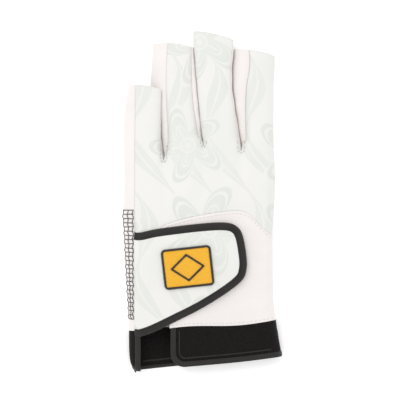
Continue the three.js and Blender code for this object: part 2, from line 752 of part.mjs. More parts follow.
function patchField() {
  const surface = new Surface(true);
  const inset = PATCH_BORDER + SEAM_GAP;
  const centre = patchPoint(0.001, inset).add(patchPoint(Math.PI + 0.001, inset)).multiplyScalar(0.5);
  const place = (ring, angle) => (
    tabPlace(patchPoint(angle, inset).lerp(centre, 1 - ring), PATCH_SEAT + PATCH_WALL));
  const loop = [...PATCH_ANGLES, PATCH_ANGLES[0]];
  surface.grid([0, 0.5, 1], loop, place);
  return surface.solid(PATCH_WALL);
}

function patchBorder() {
  const surface = new Surface();
  const place = (inset, angle) => tabPlace(patchPoint(angle, inset), PATCH_SEAT + PATCH_BORDER_WALL);
  surface.grid([0, PATCH_BORDER], [...PATCH_ANGLES, PATCH_ANGLES[0]], place);
  return surface.solid(PATCH_BORDER_WALL);
}

// The hook pad sits between the tab and the plain panel.
function closurePad() {
  const surface = new Surface();
  const place = (row, column) => {
    const x = acrossX(mix(PAD_SPAN.left, PAD_SPAN.right, column));
    const y = alongY(mix(PAD_SPAN.lower, PAD_SPAN.upper, row));
    return new THREE.Vector3(x, y, tabTop(x, y) - TAB_WALL - TAB_CLEARANCE);
  };
  surface.grid(steps(3), steps(2), place);
  return surface.solid(PAD_WALL);
}

// The cuff wraps from its right edge by the slit, round under the palm, to its left free edge.
// A cuff column lies on top or under, at an x, at a distance from a side or at a share of the fold.
const leftFoldEnd = acrossX(CUFF_FREE_EDGE) - CUFF_BINDING_WIDTH;

function cuffX(column, y) {
  if (column.from === "left") return leftX(y) + column.distance;
  if (column.from === "right") return rightX(y) - column.distance;
  if (column.from === "fold") return mix(leftX(y), leftFoldEnd - column.short, column.share);
  return column.x;
}

function cuffPlace(column, heightAt) {
  let x = column.x ?? (column.from === "right" ? acrossX(1) : leftFoldEnd);
  let y = 0;
  for (let pass = 0; pass < 3; pass += 1) {
    y = heightAt(x);
    x = cuffX(column, y);
  }
  return new THREE.Vector3(x, y, column.under ? handUnder(x, y) : handTop(x, y));
}

const SIDE_STEPS = [4.4, 2.2, 0.8, 0.15, 0];
const FOLD_SHARES = [0, 0.12, 0.45, 1];

// Columns from a start on the right part, round the palm, to the left fold.
function cuffColumns(start, short) {
  const spread = (from, to, count) => steps(count, from, to).map((x) => ({ x }));
  const near = (from, under) => SIDE_STEPS.map((distance) => ({ from, distance, under }));
  const rightEnd = acrossX(1) - 2 * SIDE_STEPS[0];
  const leftEnd = 3 * SIDE_STEPS[0];
  return [
    ...spread(start, rightEnd, 7),
    ...near("right", false),
    ...near("right", true).reverse(),
    ...spread(rightEnd, leftEnd, 9).map((column) => ({ ...column, under: true })),
    ...near("left", true),
    ...FOLD_SHARES.map((share) => ({ from: "fold", share, short })),
  ];
}

function cuffBand() {
  const surface = new Surface();
  const inset = CUFF_BINDING_WIDTH + SEAM_GAP;
  const corner = CUFF_CORNER - inset;
  const columns = cuffColumns(acrossX(CUFF_SLIT_ACROSS) + inset, SEAM_GAP);
  surface.grid(CUFF_ROWS, columns.map((_, i) => i), (row, index) => {
    const column = { ...columns[index] };
    if (index < 2) {
      const high = row * (cuffTopY(column.x) - cuffBottomY(column.x) - inset);
      column.x += corner * (1 - turn(high, corner)) * (1 - 0.6 * index);
    }
    const point = cuffPlace(column, (x) => mix(cuffBottomY(x) + inset, cuffTopY(x) - SEAM_GAP / 2, row));
    if (index === columns.length - 1) point.inward = DOWN;
    return point;
  });
  return surface.solid(CUFF_WALL, BINDING_RISE);
}

// The cuff's binding follows the right part's edge, its round corner, the hem and the free edge.
function cuffBinding() {
  const surface = new Surface();
  const width = CUFF_BINDING_WIDTH;
  const slit = acrossX(CUFF_SLIT_ACROSS);
  const free = acrossX(CUFF_FREE_EDGE);
  const stations = [];
  const upright = (x, sign, start, share) => {
    const heightAt = (at) => mix(cuffBottomY(at) + start, cuffTopY(at) - SEAM_GAP / 2, share);
    stations.push((across) => {
      const point = cuffPlace({ x: x + sign * width * across }, heightAt);
      if (across === 1) point.inward = DOWN;
      return point;
    });
  };
  for (const share of UPRIGHT_ROWS) upright(slit, 1, CUFF_CORNER, share);
  for (const angle of steps(4, 0, Math.PI / 2)) {
    stations.push((across) => {
      const radius = CUFF_CORNER - width * across;
      const x = slit + CUFF_CORNER - radius * Math.cos(angle);
      return cuffPlace({ x }, (at) => cuffBottomY(at) + CUFF_CORNER - radius * Math.sin(angle));
    });
  }
  for (const column of cuffColumns(slit + CUFF_CORNER + CUFF_CORNER_RUN, 0).slice(0, -1)) {
    stations.push((across) => cuffPlace(column, (at) => cuffBottomY(at) + width * across));
  }
  stations.push((across) => (
    cuffPlace({ x: free - width * across }, (at) => cuffBottomY(at) + width * across)));
  for (const share of [...UPRIGHT_ROWS].reverse()) upright(free, -1, width, share);
  surface.grid([0, 0.5, 1], stations.map((_, i) => i), (across, index) => stations[index](across));
  return surface.solid(CUFF_BINDING_WALL);
}

const PIECES = [
  ["back_panel", "print", backPanel],
  ["palm_panel", "leather", palmPanel],
  ["fourchette_pinky_ring", "leather", () => fourchette(1)],
  ["fourchette_ring_middle", "leather", () => fourchette(2)],
  ["fourchette_middle_index", "leather", () => fourchette(3)],
  ["thumb", "leather", thumb],
  ["landing_panel", "leather", landingPanel],
  ["closure_tab", "print", closureTab],
  ["tab_binding", "binding", tabBinding],
  ["patch_field", "patch", patchField],
  ["patch_border", "border", patchBorder],
  ["closure_pad", "cuff", closurePad],
  ["cuff_band", "cuff", cuffBand],
  ["cuff_binding", "binding", cuffBinding],
];

const glove = new THREE.Group();
const extent = new THREE.Box3();
for (const [name, look, make] of PIECES) {
  const material = new THREE.MeshStandardMaterial({ ...LOOKS[look], metalness: 0 });
  const mesh = new THREE.Mesh(make(), material);
  mesh.name = name;
  mesh.geometry.computeVertexNormals();
  mesh.geometry.computeBoundingBox();
  extent.union(mesh.geometry.boundingBox);
  glove.add(mesh);
}
const centre = extent.getCenter(new THREE.Vector3());
glove.position.set(-centre.x, -centre.y, -extent.min.z);

export default glove;
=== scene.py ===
import math

import bpy
import numpy as np
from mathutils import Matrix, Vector


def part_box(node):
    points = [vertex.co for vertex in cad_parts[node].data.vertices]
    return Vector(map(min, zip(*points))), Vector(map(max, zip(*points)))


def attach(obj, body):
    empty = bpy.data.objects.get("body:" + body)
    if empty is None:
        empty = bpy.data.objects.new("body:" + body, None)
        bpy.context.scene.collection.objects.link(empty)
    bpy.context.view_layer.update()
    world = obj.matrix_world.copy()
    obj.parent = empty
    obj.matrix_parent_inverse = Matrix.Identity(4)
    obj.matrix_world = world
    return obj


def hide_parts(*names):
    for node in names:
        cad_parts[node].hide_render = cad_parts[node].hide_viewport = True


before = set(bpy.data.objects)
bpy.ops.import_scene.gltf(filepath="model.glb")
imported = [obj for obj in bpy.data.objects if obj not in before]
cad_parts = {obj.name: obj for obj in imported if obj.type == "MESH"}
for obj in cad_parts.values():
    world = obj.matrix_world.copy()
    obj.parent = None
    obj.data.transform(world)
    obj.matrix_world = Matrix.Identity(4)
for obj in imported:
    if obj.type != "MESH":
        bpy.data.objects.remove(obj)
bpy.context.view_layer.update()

FULL_TURN = 2 * math.pi

# Driving sizes, the same as in the solids
PALM_WIDTH = 88
FINGER_REACH = 66.7
HAND_LENGTH = 105.6
CUFF_DEPTH = 25.5
HAND_HEIGHT = 17

# Walls, seams and bindings
LEATHER_WALL = 1.0
TAB_WALL = 1.2
CUFF_WALL = 1.2
BINDING_WALL = 1.7
CUFF_BINDING_WALL = 1.9
BINDING_WIDTH = 4.5
CUFF_BINDING_WIDTH = 3.2
SEAM_GAP = 0.3
CREASE_GAP = 0.06
FLOOR_TOUCH = 0.01
UNDER_CLEARANCE = 0.02
BINDING_RISE = 0.5

# Heights of the seams and how softly the sides turn
BACK_SEAM_HEIGHT = 7.4
PALM_SEAM_HEIGHT = 2.0
TOP_TURN = 6.0
FINGER_TURN = 5.5
UNDER_TURN = 4.5
CROTCH_FADE = 13
SLIT_OPENING = 6
TIP_BULGE = 1.0
SIDE_STEEPNESS = 0.72
SEAM_ROLL = 0.3
SEAM_ROLL_WIDTH = 1.1
VALLEY = 0.55

# The thumb and its hole in the palm
THUMB_WIDTH = 27
THUMB_HEIGHT = 7.6
THUMB_HOLE_WIDTH = 25
THUMB_HOLE_LENGTH = 32
THUMB_RAMP = 14
THUMB_SQUARENESS = 0.6

# The elastic gathers of the outer side
GATHER_PITCH = 2.4
GATHER_DEPTH = 0.5
GATHER_LANES = 2
GATHER_THREAD = 0.27
LADDER_INSET = 0.3
LADDER_SEAM_GAP = 1.0
STITCH_INSET = 1.6

# The tab, its patch and its hook pad
TAB_CLEARANCE = 0.35
TAB_SEWN = 5
TAB_END_SHARE = 0.03
TAPE_LENGTH = 215
TAPE_STITCH = 0.74
TAPE_FALL = 1.1
TAPE_GROOVE = 0.4
SEWN_WALL = 0.3
PAD_WALL = 1.0
PATCH_WIDTH = 29
PATCH_HEIGHT = 23.5
PATCH_TURN = 6.4
PATCH_CORNER = 2.6
PATCH_BORDER = 1.5
PATCH_SEAT = 0.25
PATCH_WALL = 0.9
MOTIF_LINE = 1.35
MOTIF = {"half_width": 9.2, "half_height": 7.4}
ROPE_STITCH = 0.5
ROPE_STEP = 0.16

# The cuff
HEM_CORD_INSET = 1.9
CUFF_CORNER = 9
CUFF_CORNER_RUN = 1.2
CUFF_SIDE_REACH = 4.4

# The print's blossoms
PRINT_SPACING = 57.0
PRINT_RADIUS = 25.5
PRINT_PETALS = 5

# The stitching round each crotch: how far it runs up beside the gap, and half its width
ROOT_STITCHES = {1: (9, 1.9), 2: (3, 1.7), 3: (6, 2.0)}

# Places along the glove are shares: 0 to 1 of the finger reach above the knuckle line,
# 0 to -1 of the hand length below it, and -1 to -2 of the cuff depth.
# Places across it are shares of the palm's width.


def table(names, *rows):
    return {"names": names.split(), "rows": np.array(rows, float)}


OUTLINE = table(
    "along left right",
    [-2.01, 0.078, 1.04],
    [-1.91, 0.055, 1.04],
    [-1.8, 0.04, 1.04],
    [-1.59, 0.032, 1.04],
    [-1.27, 0.03, 1.024],
    [-1.0, 0.03, 1.01],
    [-0.9, 0.03, 0.993],
    [-0.79, 0.022, 0.984],
    [-0.68, 0.015, 0.982],
    [-0.47, 0.002, 0.981],
    [-0.36, -0.006, 0.99],
    [-0.22, -0.001, 0.998],
    [-0.1, -0.002, 0.996],
    [0.0, -0.006, 0.99],
    [0.21, -0.004, 0.988],
    [0.36, 0.004, 0.99],
    [0.53, 0.026, 0.99],
    [0.7, 0.04, 0.997],
    [0.85, 0.04, 1.001],
)

FINGER_EDGES = table(
    "along pinkyPalm pinkyBack ringPalmL ringBackL ringPalmR ringBackR"
    " middlePalmL middleBackL middlePalmR middleBackR indexPalm indexBack",
    [-0.12, 0.257, 0.258, 0.27, 0.272, 0.523, 0.523, 0.525, 0.525, 0.77, 0.77, 0.773, 0.773],
    [-0.01, 0.243, 0.245, 0.257, 0.285, 0.519, 0.512, 0.527, 0.525, 0.766, 0.767, 0.778, 0.788],
    [0.07, 0.229, 0.243, 0.245, 0.29, 0.51, 0.493, 0.522, 0.517, 0.755, 0.757, 0.77, 0.804],
    [0.21, 0.203, 0.242, 0.221, 0.287, 0.498, 0.473, 0.513, 0.505, 0.737, 0.741, 0.753, 0.804],
    [0.36, 0.175, 0.243, 0.195, 0.281, 0.485, 0.456, 0.498, 0.494, 0.716, 0.724, 0.732, 0.804],
    [0.51, 0.155, 0.246, 0.174, 0.278, 0.471, 0.447, 0.484, 0.484, 0.698, 0.709, 0.713, 0.809],
    [0.7, 0.155, 0.248, 0.179, 0.279, 0.457, 0.444, 0.469, 0.471, 0.696, 0.705, 0.711, 0.831],
    [0.85, 0.155, 0.248, 0.186, 0.286, 0.452, 0.443, 0.464, 0.463, 0.705, 0.717, 0.72, 0.828],
    [1.0, 0.155, 0.248, 0.186, 0.286, 0.452, 0.443, 0.464, 0.463, 0.705, 0.726, 0.72, 0.828],
)

CROTCHES = table(
    "across along foot",
    [0.0, -0.09, 0.0],
    [0.261, -0.077, 0.27],
    [0.5235, 0.009, 0.51],
    [0.772, -0.022, 0.76],
    [1.0, -0.035, 1.0],
)

TIPS = table(
    "across leftTip rightAcross rightTip",
    [0.025, 0.533, 0.261, 0.483],
    [0.188, 0.897, 0.45, 0.861],
    [0.464, 1.0, 0.726, 0.923],
    [0.72, 0.852, 1.001, 0.783],
)

# The back's top and its outer side seam, as shares of the hand's height.
HEIGHTS = table(
    "along top side",
    [-2.02, 0.6, 0.282],
    [-1.0, 0.694, 0.306],
    [-0.85, 0.824, 0.376],
    [-0.62, 1.0, 0.447],
    [-0.4, 1.0, 0.447],
    [-0.2, 0.953, 0.4],
    [0.0, 0.788, 0.306],
    [0.3, 0.612, 0.259],
    [1.0, 0.529, 0.247],
)

# The seam between the printed back and the plain panel, the back slit and the cuff's two edges.
LANDING_SEAM = table(
    "across along",
    [0.07, -0.52],
    [0.185, -0.505],
    [0.224, -0.467],
    [0.27, -0.434],
    [0.376, -0.404],
    [0.494, -0.382],
    [0.666, -0.359],
    [0.765, -0.356],
    [0.824, -0.376],
    [0.89, -0.431],
    [0.976, -0.495],
)

SLIT = table(
    "along across",
    [-1.1, 0.3065],
    [-0.945, 0.299],
    [-0.79, 0.277],
    [-0.637, 0.257],
    [-0.4, 0.237],
)

CUFF_EDGES = table(
    "across top bottom",
    [0.03, -1.07, -2.02],
    [0.345, -0.996, -1.905],
    [0.758, -0.984, -1.775],
    [1.035, -0.952, -1.659],
)

# The tab's outer edge, from its upper end round the free end to its lower end.
TAB_EDGE = table(
    "across along",
    [0.071, -0.47],
    [0.112, -0.473],
    [0.229, -0.453],
    [0.501, -0.425],
    [0.662, -0.419],
    [0.738, -0.438],
    [0.78, -0.49],
    [0.806, -0.61],
    [0.804, -0.681],
    [0.776, -0.735],
    [0.677, -0.803],
    [0.511, -0.89],
    [0.341, -0.963],
    [0.2, -1.02],
    [0.109, -1.047],
    [0.071, -1.045],
)
TAB_CORNERS = {"upper": 5.5 / 15, "lower": 9 / 15}
TAB_LIFT = {"start": 0.3, "over": 0.35}
PAD_SPAN = {"left": 0.66, "right": 0.755, "lower": -0.66, "upper": -0.49}
PATCH_CENTRE = {"across": 0.42, "along": -0.664}
SEAM_ACROSS = 0.073
CUFF_SLIT_ACROSS = 0.3065
CUFF_FREE_EDGE = 0.1094
THUMB_BASE = {"across": 0.765, "along": -0.637}
THUMB_TIP = {"across": 0.67, "along": -0.27}
GATHER = {"top": -0.352, "bottom": -0.95}

# The share of a finger gap that each side strip's swelling takes up beside the crotch and half-way
# up, its swelling in millimetres where no finger lies beside it, and its bias towards the palm.
SIDE_SWELL = {
    (1, 1): (0.3, 0.15, 0.4, 0.9),
    (1, -1): (0.6, 0.45, 1.3, 1.0),
    (2, 1): (0.75, 0.9, 1.2, 0.75),
    (2, -1): (0.2, 0.05, 0.6, 0.8),
    (3, 1): (0.3, 0.15, 0.5, 0.7),
    (3, -1): (0.6, 0.6, 1.5, 1.0),
}

# Soft folds of the leather: a line from one place to another, its half width and its height.
FOLDS = table(
    "acrossA alongA acrossB alongB width height",
    [0.261, -0.09, 0.275, -0.3, 3.0, -0.7],
    [0.5235, 0.0, 0.515, -0.27, 3.6, -0.8],
    [0.772, -0.03, 0.765, -0.26, 3.4, -0.8],
    [0.06, -0.02, 0.2, -0.12, 3.2, 0.35],
    [0.3, 0.05, 0.42, -0.1, 3.0, 0.3],
    [0.86, 0.2, 0.96, 0.1, 3.0, 0.3],
    [0.9, -0.1, 0.98, -0.22, 3.5, -0.35],
    [0.83, -0.44, 0.975, -0.56, 2.6, 0.35],
    [0.86, -0.62, 0.975, -0.66, 3.0, -0.3],
    [0.6, -0.93, 0.95, -0.86, 3.6, 0.3],
    [0.04, 0.3, 0.14, 0.26, 2.6, -0.25],
    [0.33, 0.62, 0.42, 0.55, 2.8, -0.25],
    [0.55, 0.72, 0.66, 0.64, 3.0, -0.25],
    [0.86, 0.55, 0.97, 0.6, 3.0, -0.25],
)


def clamp(value, low=0.0, high=1.0):
    return np.clip(value, low, high)


def mix(a, b, t):
    return a + (b - a) * t


def smooth(t):
    t = clamp(t)
    return t * t * (3 - 2 * t)


def turn(distance, radius):
    return np.sqrt(1 - (1 - clamp(distance / radius)) ** 2)


def lookup(source, name, at):
    keys = source["rows"][:, 0]
    values = source["rows"][:, source["names"].index(name)]
    at = np.asarray(at, float)
    last = len(keys) - 1
    i = np.clip(np.searchsorted(keys, at) - 1, 0, last - 1)
    before = np.maximum(i - 1, 0)
    after = np.minimum(i + 2, last)
    span = keys[i + 1] - keys[i]
    t = clamp((at - keys[i]) / span)
    start = (values[i + 1] - values[before]) / (keys[i + 1] - keys[before])
    end = (values[after] - values[i]) / (keys[after] - keys[i])
    return (
        (2 * t**3 - 3 * t**2 + 1) * values[i]
        + (t**3 - 2 * t**2 + t) * span * start
        + (3 * t**2 - 2 * t**3) * values[i + 1]
        + (t**3 - t**2) * span * end
    )


def across_x(share):
    return share * PALM_WIDTH


def along_y(share):
    share = np.asarray(share, float)
    cuff = -HAND_LENGTH + (share + 1) * CUFF_DEPTH
    return np.where(share >= 0, share * FINGER_REACH, np.where(share >= -1, share * HAND_LENGTH, cuff))


def along_share(y):
    y = np.asarray(y, float)
    cuff = -1 + (y + HAND_LENGTH) / CUFF_DEPTH
    return np.where(y >= 0, y / FINGER_REACH, np.where(y >= -HAND_LENGTH, y / HAND_LENGTH, cuff))


# Plan of the hand
SEAM_X = across_x(SEAM_ACROSS)


def left_x(y):
    return across_x(lookup(OUTLINE, "left", along_share(y)))


def right_x(y):
    return across_x(lookup(OUTLINE, "right", along_share(y)))


def crotch(k):
    across, along, foot = CROTCHES["rows"][k]
    return across_x(across), float(along_y(along)), across_x(foot)


def landing_y(x):
    return along_y(lookup(LANDING_SEAM, "along", x / PALM_WIDTH))


def slit_x(y):
    return across_x(lookup(SLIT, "across", along_share(y)))


def cuff_y(edge, x):
    return along_y(lookup(CUFF_EDGES, edge, x / PALM_WIDTH))


def side_height(y):
    return HAND_HEIGHT * lookup(HEIGHTS, "side", along_share(y))


def top_height(y):
    return HAND_HEIGHT * lookup(HEIGHTS, "top", along_share(y))


def parting_x(k, y):
    x, top, foot = crotch(k)
    return mix(x, foot, clamp((y - top) / (-HAND_LENGTH - top)))


FINGERS = ("pinky", "ring", "middle", "index")


def finger_edge(side, finger, end, y):
    """The left (0) or right (1) edge of a finger's back or palm."""
    if finger == 0 and end == 0:
        return left_x(y)
    if finger == 3 and end == 1:
        return right_x(y)
    x, top, _ = crotch(finger + end)
    edge_name = FINGERS[finger] + side.capitalize() + ("LR"[end] if finger in (1, 2) else "")
    open_x = across_x(lookup(FINGER_EDGES, edge_name, along_share(y)))
    opened = mix(x, open_x, smooth((y - top) / SLIT_OPENING))
    return np.where(y <= top, parting_x(finger + end, y), opened)


def tip_y(finger, x):
    left, left_tip, right, right_tip = TIPS["rows"][finger]
    share = clamp((x / PALM_WIDTH - left) / (right - left))
    return mix(along_y(left_tip), along_y(right_tip), share) + TIP_BULGE * 4 * share * (1 - share)


def beside(x, y, start, end):
    """How far along a line a place lies, as a share, and its distance from the line."""
    step = end - start
    share = clamp(((x - start[0]) * step[0] + (y - start[1]) * step[1]) / (step @ step))
    return share, np.hypot(x - start[0] - share * step[0], y - start[1] - share * step[1])


# The palm lifts to make room for the folded thumb
THUMB_FOOT = np.array([across_x(THUMB_BASE["across"]), along_y(THUMB_BASE["along"])])
THUMB_END = np.array([across_x(THUMB_TIP["across"]), along_y(THUMB_TIP["along"])])
THUMB_AXIS = (THUMB_END - THUMB_FOOT) / np.linalg.norm(THUMB_END - THUMB_FOOT)
THUMB_SIDE = np.array([THUMB_AXIS[1], -THUMB_AXIS[0]])
THUMB_ROOM = THUMB_HEIGHT + 2 * SEAM_GAP


def thumb_lift(x, y):
    _, away = beside(x, y, THUMB_FOOT, THUMB_END)
    return THUMB_ROOM * (1 - smooth((away - THUMB_WIDTH / 2 - 1) / THUMB_RAMP))


# Heights of the outer surfaces
def inside_distance(x, y):
    return np.maximum(0, np.minimum(x - left_x(y), right_x(y) - x))


def hand_top(x, y):
    base = side_height(y) + SEAM_GAP / 2
    inside = inside_distance(x, y)
    rise = mix(turn(inside, PALM_WIDTH / 2), turn(inside, TOP_TURN), SIDE_STEEPNESS)
    return base + (top_height(y) - base) * rise


def hand_under(x, y):
    inside = inside_distance(x, y)
    edge = (side_height(y) - SEAM_GAP / 2) * (1 - turn(inside, UNDER_TURN))
    return edge + thumb_lift(x, y) * turn(inside, TOP_TURN)


def finger_height(side, finger, x, y):
    back = side == "back"
    outer = side_height(y) + (SEAM_GAP / 2 if back else -SEAM_GAP / 2)
    seam = BACK_SEAM_HEIGHT if back else PALM_SEAM_HEIGHT
    full = top_height(y) if back else 0.0
    radius = FINGER_TURN if back else UNDER_TURN
    left = np.maximum(0, x - finger_edge(side, finger, 0, y))
    right = np.maximum(0, finger_edge(side, finger, 1, y) - x)
    if finger > 0:
        left = np.hypot(left, VALLEY * np.maximum(0, crotch(finger)[1] - y))
    if finger < 3:
        right = np.hypot(right, VALLEY * np.maximum(0, crotch(finger + 1)[1] - y))
    left_fall = ((outer if finger == 0 else seam) - full) * (1 - turn(left, radius))
    right_fall = ((outer if finger == 3 else seam) - full) * (1 - turn(right, radius))
    return full + left_fall + right_fall


def finger_share(x, y):
    line = along_y(lookup(CROTCHES, "along", x / PALM_WIDTH))
    return smooth((y - line + CROTCH_FADE) / (2 * CROTCH_FADE))


def folds(x, y):
    """The height that soft folds and broad waves add to the leather."""
    total = 0.16 * np.sin(x / 7.3 + y / 19) * np.sin(y / 11.7 + 1.3) + 0.1 * np.sin(x / 3.9 - y / 6.1 + 0.7)
    for across_a, along_a, across_b, along_b, width, height in FOLDS["rows"]:
        a = np.array([across_x(across_a), float(along_y(along_a))])
        b = np.array([across_x(across_b), float(along_y(along_b))])
        share, away = beside(x, y, a, b)
        total = total + height * np.exp(-((away / width) ** 2)) * np.sqrt(1 - 0.8 * share)
    return total


def surface_height(side, finger, x, y):
    hand = hand_top(x, y) if side == "back" else hand_under(x, y)
    height = mix(hand, finger_height(side, finger, x, y), finger_share(x, y))
    calm = turn(inside_distance(x, y), TOP_TURN)
    return height + folds(x, y) * calm * (1.0 if side == "back" else 0.25)


def top_surface(x, y):
    """The back of the hand below the fingers, with its folds."""
    return hand_top(x, y) + folds(x, y) * turn(inside_distance(x, y), TOP_TURN)


def seam_roll(distance):
    return -SEAM_ROLL * (1 - turn(np.abs(distance), SEAM_ROLL_WIDTH))


# Meshes. Every piece is made in plan millimetres and set into the frame's metres.
BACK_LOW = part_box("back_panel")[0]
PALM_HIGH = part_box("palm_panel")[1]
SHIFT = np.array([
    BACK_LOW.x * 1000 - SEAM_X - SEAM_GAP / 2,
    PALM_HIGH.y * 1000 - FINGER_REACH,
    0.0,
])


def steps(count, low=0.0, high=1.0):
    return np.linspace(low, high, count + 1)


def eased(count):
    """Shares from 0 to 1 that crowd towards both ends."""
    return (1 - np.cos(np.pi * steps(count))) / 2


def unit(vectors):
    return vectors / np.maximum(np.linalg.norm(vectors, axis=-1, keepdims=True), 1e-9)


def running_length(points):
    """The length along a line of points, from 0 at its first."""
    return np.concatenate([[0], np.cumsum(np.linalg.norm(np.diff(points, axis=0), axis=1))])


def vertex_normals(points, triangles):
    a, b, c = (points[triangles[:, i]] for i in range(3))
    facing = np.cross(b - a, c - a)
    normals = np.zeros_like(points)
    for i in range(3):
        np.add.at(normals, triangles[:, i], facing)
    return unit(normals)


def make_object(name, points, triangles, materials, uv=None, material_index=None):
    mesh = bpy.data.meshes.new(name)
    mesh.from_pydata(((points + SHIFT) / 1000).tolist(), [], triangles.tolist())
    mesh.polygons.foreach_set("use_smooth", np.ones(len(triangles), bool))
    if material_index is not None:
        mesh.polygons.foreach_set("material_index", material_index.astype(np.int32))
    if uv is not None:
        layer = mesh.uv_layers.new(name="UVMap")
        layer.data.foreach_set("uv", uv.astype(np.float32).ravel())
    for material in materials:
        mesh.materials.append(material)
    mesh.update()
    return placed(name, mesh)


UP = np.array([0.0, 0.0, 1.0])


def placed(name, data):
    piece = bpy.data.objects.new(name, data)
    bpy.context.scene.collection.objects.link(piece)
    return piece


def open_edges(triangles):
    pairs = np.concatenate([triangles[:, [0, 1]], triangles[:, [1, 2]], triangles[:, [2, 0]]]).tolist()
    known = set(map(tuple, pairs))
    return np.array([pair for pair in pairs if (pair[1], pair[0]) not in known])


def rounded_rim(points, inner, normals, edges, rim, rings):
    """Rings of points between a surface's open edges and its inner copy's, with their faces."""
    outward = np.zeros_like(points)
    run = unit(points[edges[:, 1]] - points[edges[:, 0]])
    for end in (0, 1):
        np.add.at(outward, edges[:, end], np.cross(run, normals[edges[:, end]]))
    outward = unit(outward)
    ends = np.unique(edges)
    place = np.full(len(points), -1)
    place[ends] = np.arange(len(ends))
    layers, added, faces = [ends], [], []
    for ring in range(1, rings):
        angle = math.pi * ring / rings
        offset = mix(points[ends], inner[ends], (1 - math.cos(angle)) / 2)
        added.append(offset + outward[ends] * rim * math.sin(angle))
        layers.append(np.arange(len(ends)) + 2 * len(points) + (ring - 1) * len(ends))
    layers.append(ends + len(points))
    a, b = place[edges[:, 0]], place[edges[:, 1]]
    for upper, lower in zip(layers[:-1], layers[1:]):
        faces.append(np.stack([upper[a], lower[b], upper[b]], 1))
        faces.append(np.stack([upper[a], lower[a], lower[b]], 1))
    return added, faces


class Shell:
    """An outer surface made of grids, given a wall with a rounded rim."""

    def __init__(self, flipped=False):
        self.flipped = flipped
        self.points = []
        self.uv = []
        self.triangles = []
        self.count = 0

    def grid(self, rows, columns, place):
        """Rows run along the second axis and columns along the first, as seen from outside."""
        row, column = np.meshgrid(rows, columns, indexing="ij")
        points, uv = place(row, column)
        size = row.shape
        index = np.arange(row.size).reshape(size) + self.count
        quads = [index[:-1, :-1], index[:-1, 1:], index[1:, 1:], index[1:, :-1]]
        a, b, c, d = (quad.ravel() for quad in quads)
        triangles = np.concatenate([np.stack([a, b, c], 1), np.stack([a, c, d], 1)])
        self.triangles.append(triangles[:, ::-1] if self.flipped else triangles)
        self.points.append(points.reshape(-1, 3))
        self.uv.append(uv.reshape(-1, 2))
        self.count += row.size

    def merged(self):
        points = np.concatenate(self.points)
        uv = np.concatenate(self.uv)
        triangles = np.concatenate(self.triangles)
        keys = np.round(points * 1000 + 0.317).astype(np.int64)
        _, first, inverse = np.unique(keys, axis=0, return_index=True, return_inverse=True)
        inverse = inverse.ravel()
        corners = inverse[triangles]
        whole = (corners[:, 0] != corners[:, 1]) & (corners[:, 1] != corners[:, 2])
        whole &= corners[:, 2] != corners[:, 0]
        return points[first], corners[whole], uv[triangles[whole]]

    def build(self, name, wall, materials, rim=0.22, rings=3, hole=None, depth=None, facing=None):
        points, triangles, uv = self.merged()
        if hole is not None:
            points, triangles, uv = hole(points, triangles, uv)
        normals = vertex_normals(points, triangles)
        walls = wall if depth is None else depth(points)[:, None]
        inner = points - (normals if facing is None else facing) * walls
        size = len(points)
        edges = open_edges(triangles)
        every = [points, inner]
        faces = [triangles, triangles[:, ::-1] + size]
        coords = [uv, uv[:, ::-1]]
        marks = [np.zeros(len(triangles)), np.ones(len(triangles))]
        if len(edges):
            added, joined = rounded_rim(points, inner, normals, edges, rim, rings)
            corner_uv = np.zeros((size, 2))
            corner_uv[triangles.ravel()] = uv.reshape(-1, 2)
            start, end = corner_uv[edges[:, 0]], corner_uv[edges[:, 1]]
            every += added
            faces += joined
            coords += [np.stack([start, end, end], 1), np.stack([start, start, end], 1)] * rings
            marks += [np.zeros(len(edges))] * (2 * rings)
        every = np.concatenate(every)
        every[:, 2] = np.maximum(every[:, 2], FLOOR_TOUCH)
        faces = np.concatenate(faces)
        marks = np.concatenate(marks) if len(materials) > 1 else np.zeros(len(faces))
        return make_object(name, every, faces, materials, np.concatenate(coords).reshape(-1, 2), marks)


def stack(x, y, z):
    return np.stack(np.broadcast_arrays(x, y, z), axis=-1).astype(float)


def plan_uv(points):
    return points[..., :2]


def outer(points):
    return points, plan_uv(points)


def resampled(points, pitch):
    """Points every pitch along a line, from its first to near its last."""
    points = np.asarray(points, float)
    lengths = running_length(points)
    at = np.linspace(0, lengths[-1], max(2, int(round(lengths[-1] / pitch)) + 1))
    return np.stack([np.interp(at, lengths, points[:, i]) for i in range(points.shape[1])], 1)


def sweep(name, lines, radius, materials, sides=6, flatness=1.0):
    """Round threads, each along a line of points with the surface's normals beside them."""
    points, triangles, count = [], [], 0
    angles = 2 * np.pi * np.arange(sides) / sides
    for line, up, sizes in lines:
        tangent = np.gradient(line, axis=0)
        tangent = unit(tangent)
        side = np.cross(tangent, up)
        side = unit(side)
        rise = np.cross(side, tangent)
        radii = radius * np.asarray(sizes)[:, None, None]
        ring = side[:, None] * np.cos(angles)[None, :, None]
        ring = ring + rise[:, None] * np.sin(angles)[None, :, None] * flatness
        body = line[:, None] + ring * radii
        rows = len(line)
        index = np.arange(rows * sides).reshape(rows, sides) + count
        ahead = np.roll(index, -1, axis=1)
        a, b, c, d = index[:-1].ravel(), ahead[:-1].ravel(), ahead[1:].ravel(), index[1:].ravel()
        triangles.append(np.stack([a, b, c], 1)[:, ::-1])
        triangles.append(np.stack([a, c, d], 1)[:, ::-1])
        for row, turned in ((index[0], 1), (index[-1], -1)):
            fan = np.stack([np.full(sides - 2, row[0]), row[1:-1], row[2:]], 1)
            triangles.append(fan[:, ::turned])
        points.append(body.reshape(-1, 3))
        count += rows * sides
    return make_object(name, np.concatenate(points), np.concatenate(triangles), materials)


def height_normals(height, x, y):
    step = 0.15
    slope_x = (height(x + step, y) - height(x - step, y)) / (2 * step)
    slope_y = (height(x, y + step) - height(x, y - step)) / (2 * step)
    normal = stack(-slope_x, -slope_y, np.ones_like(slope_x))
    return unit(normal)


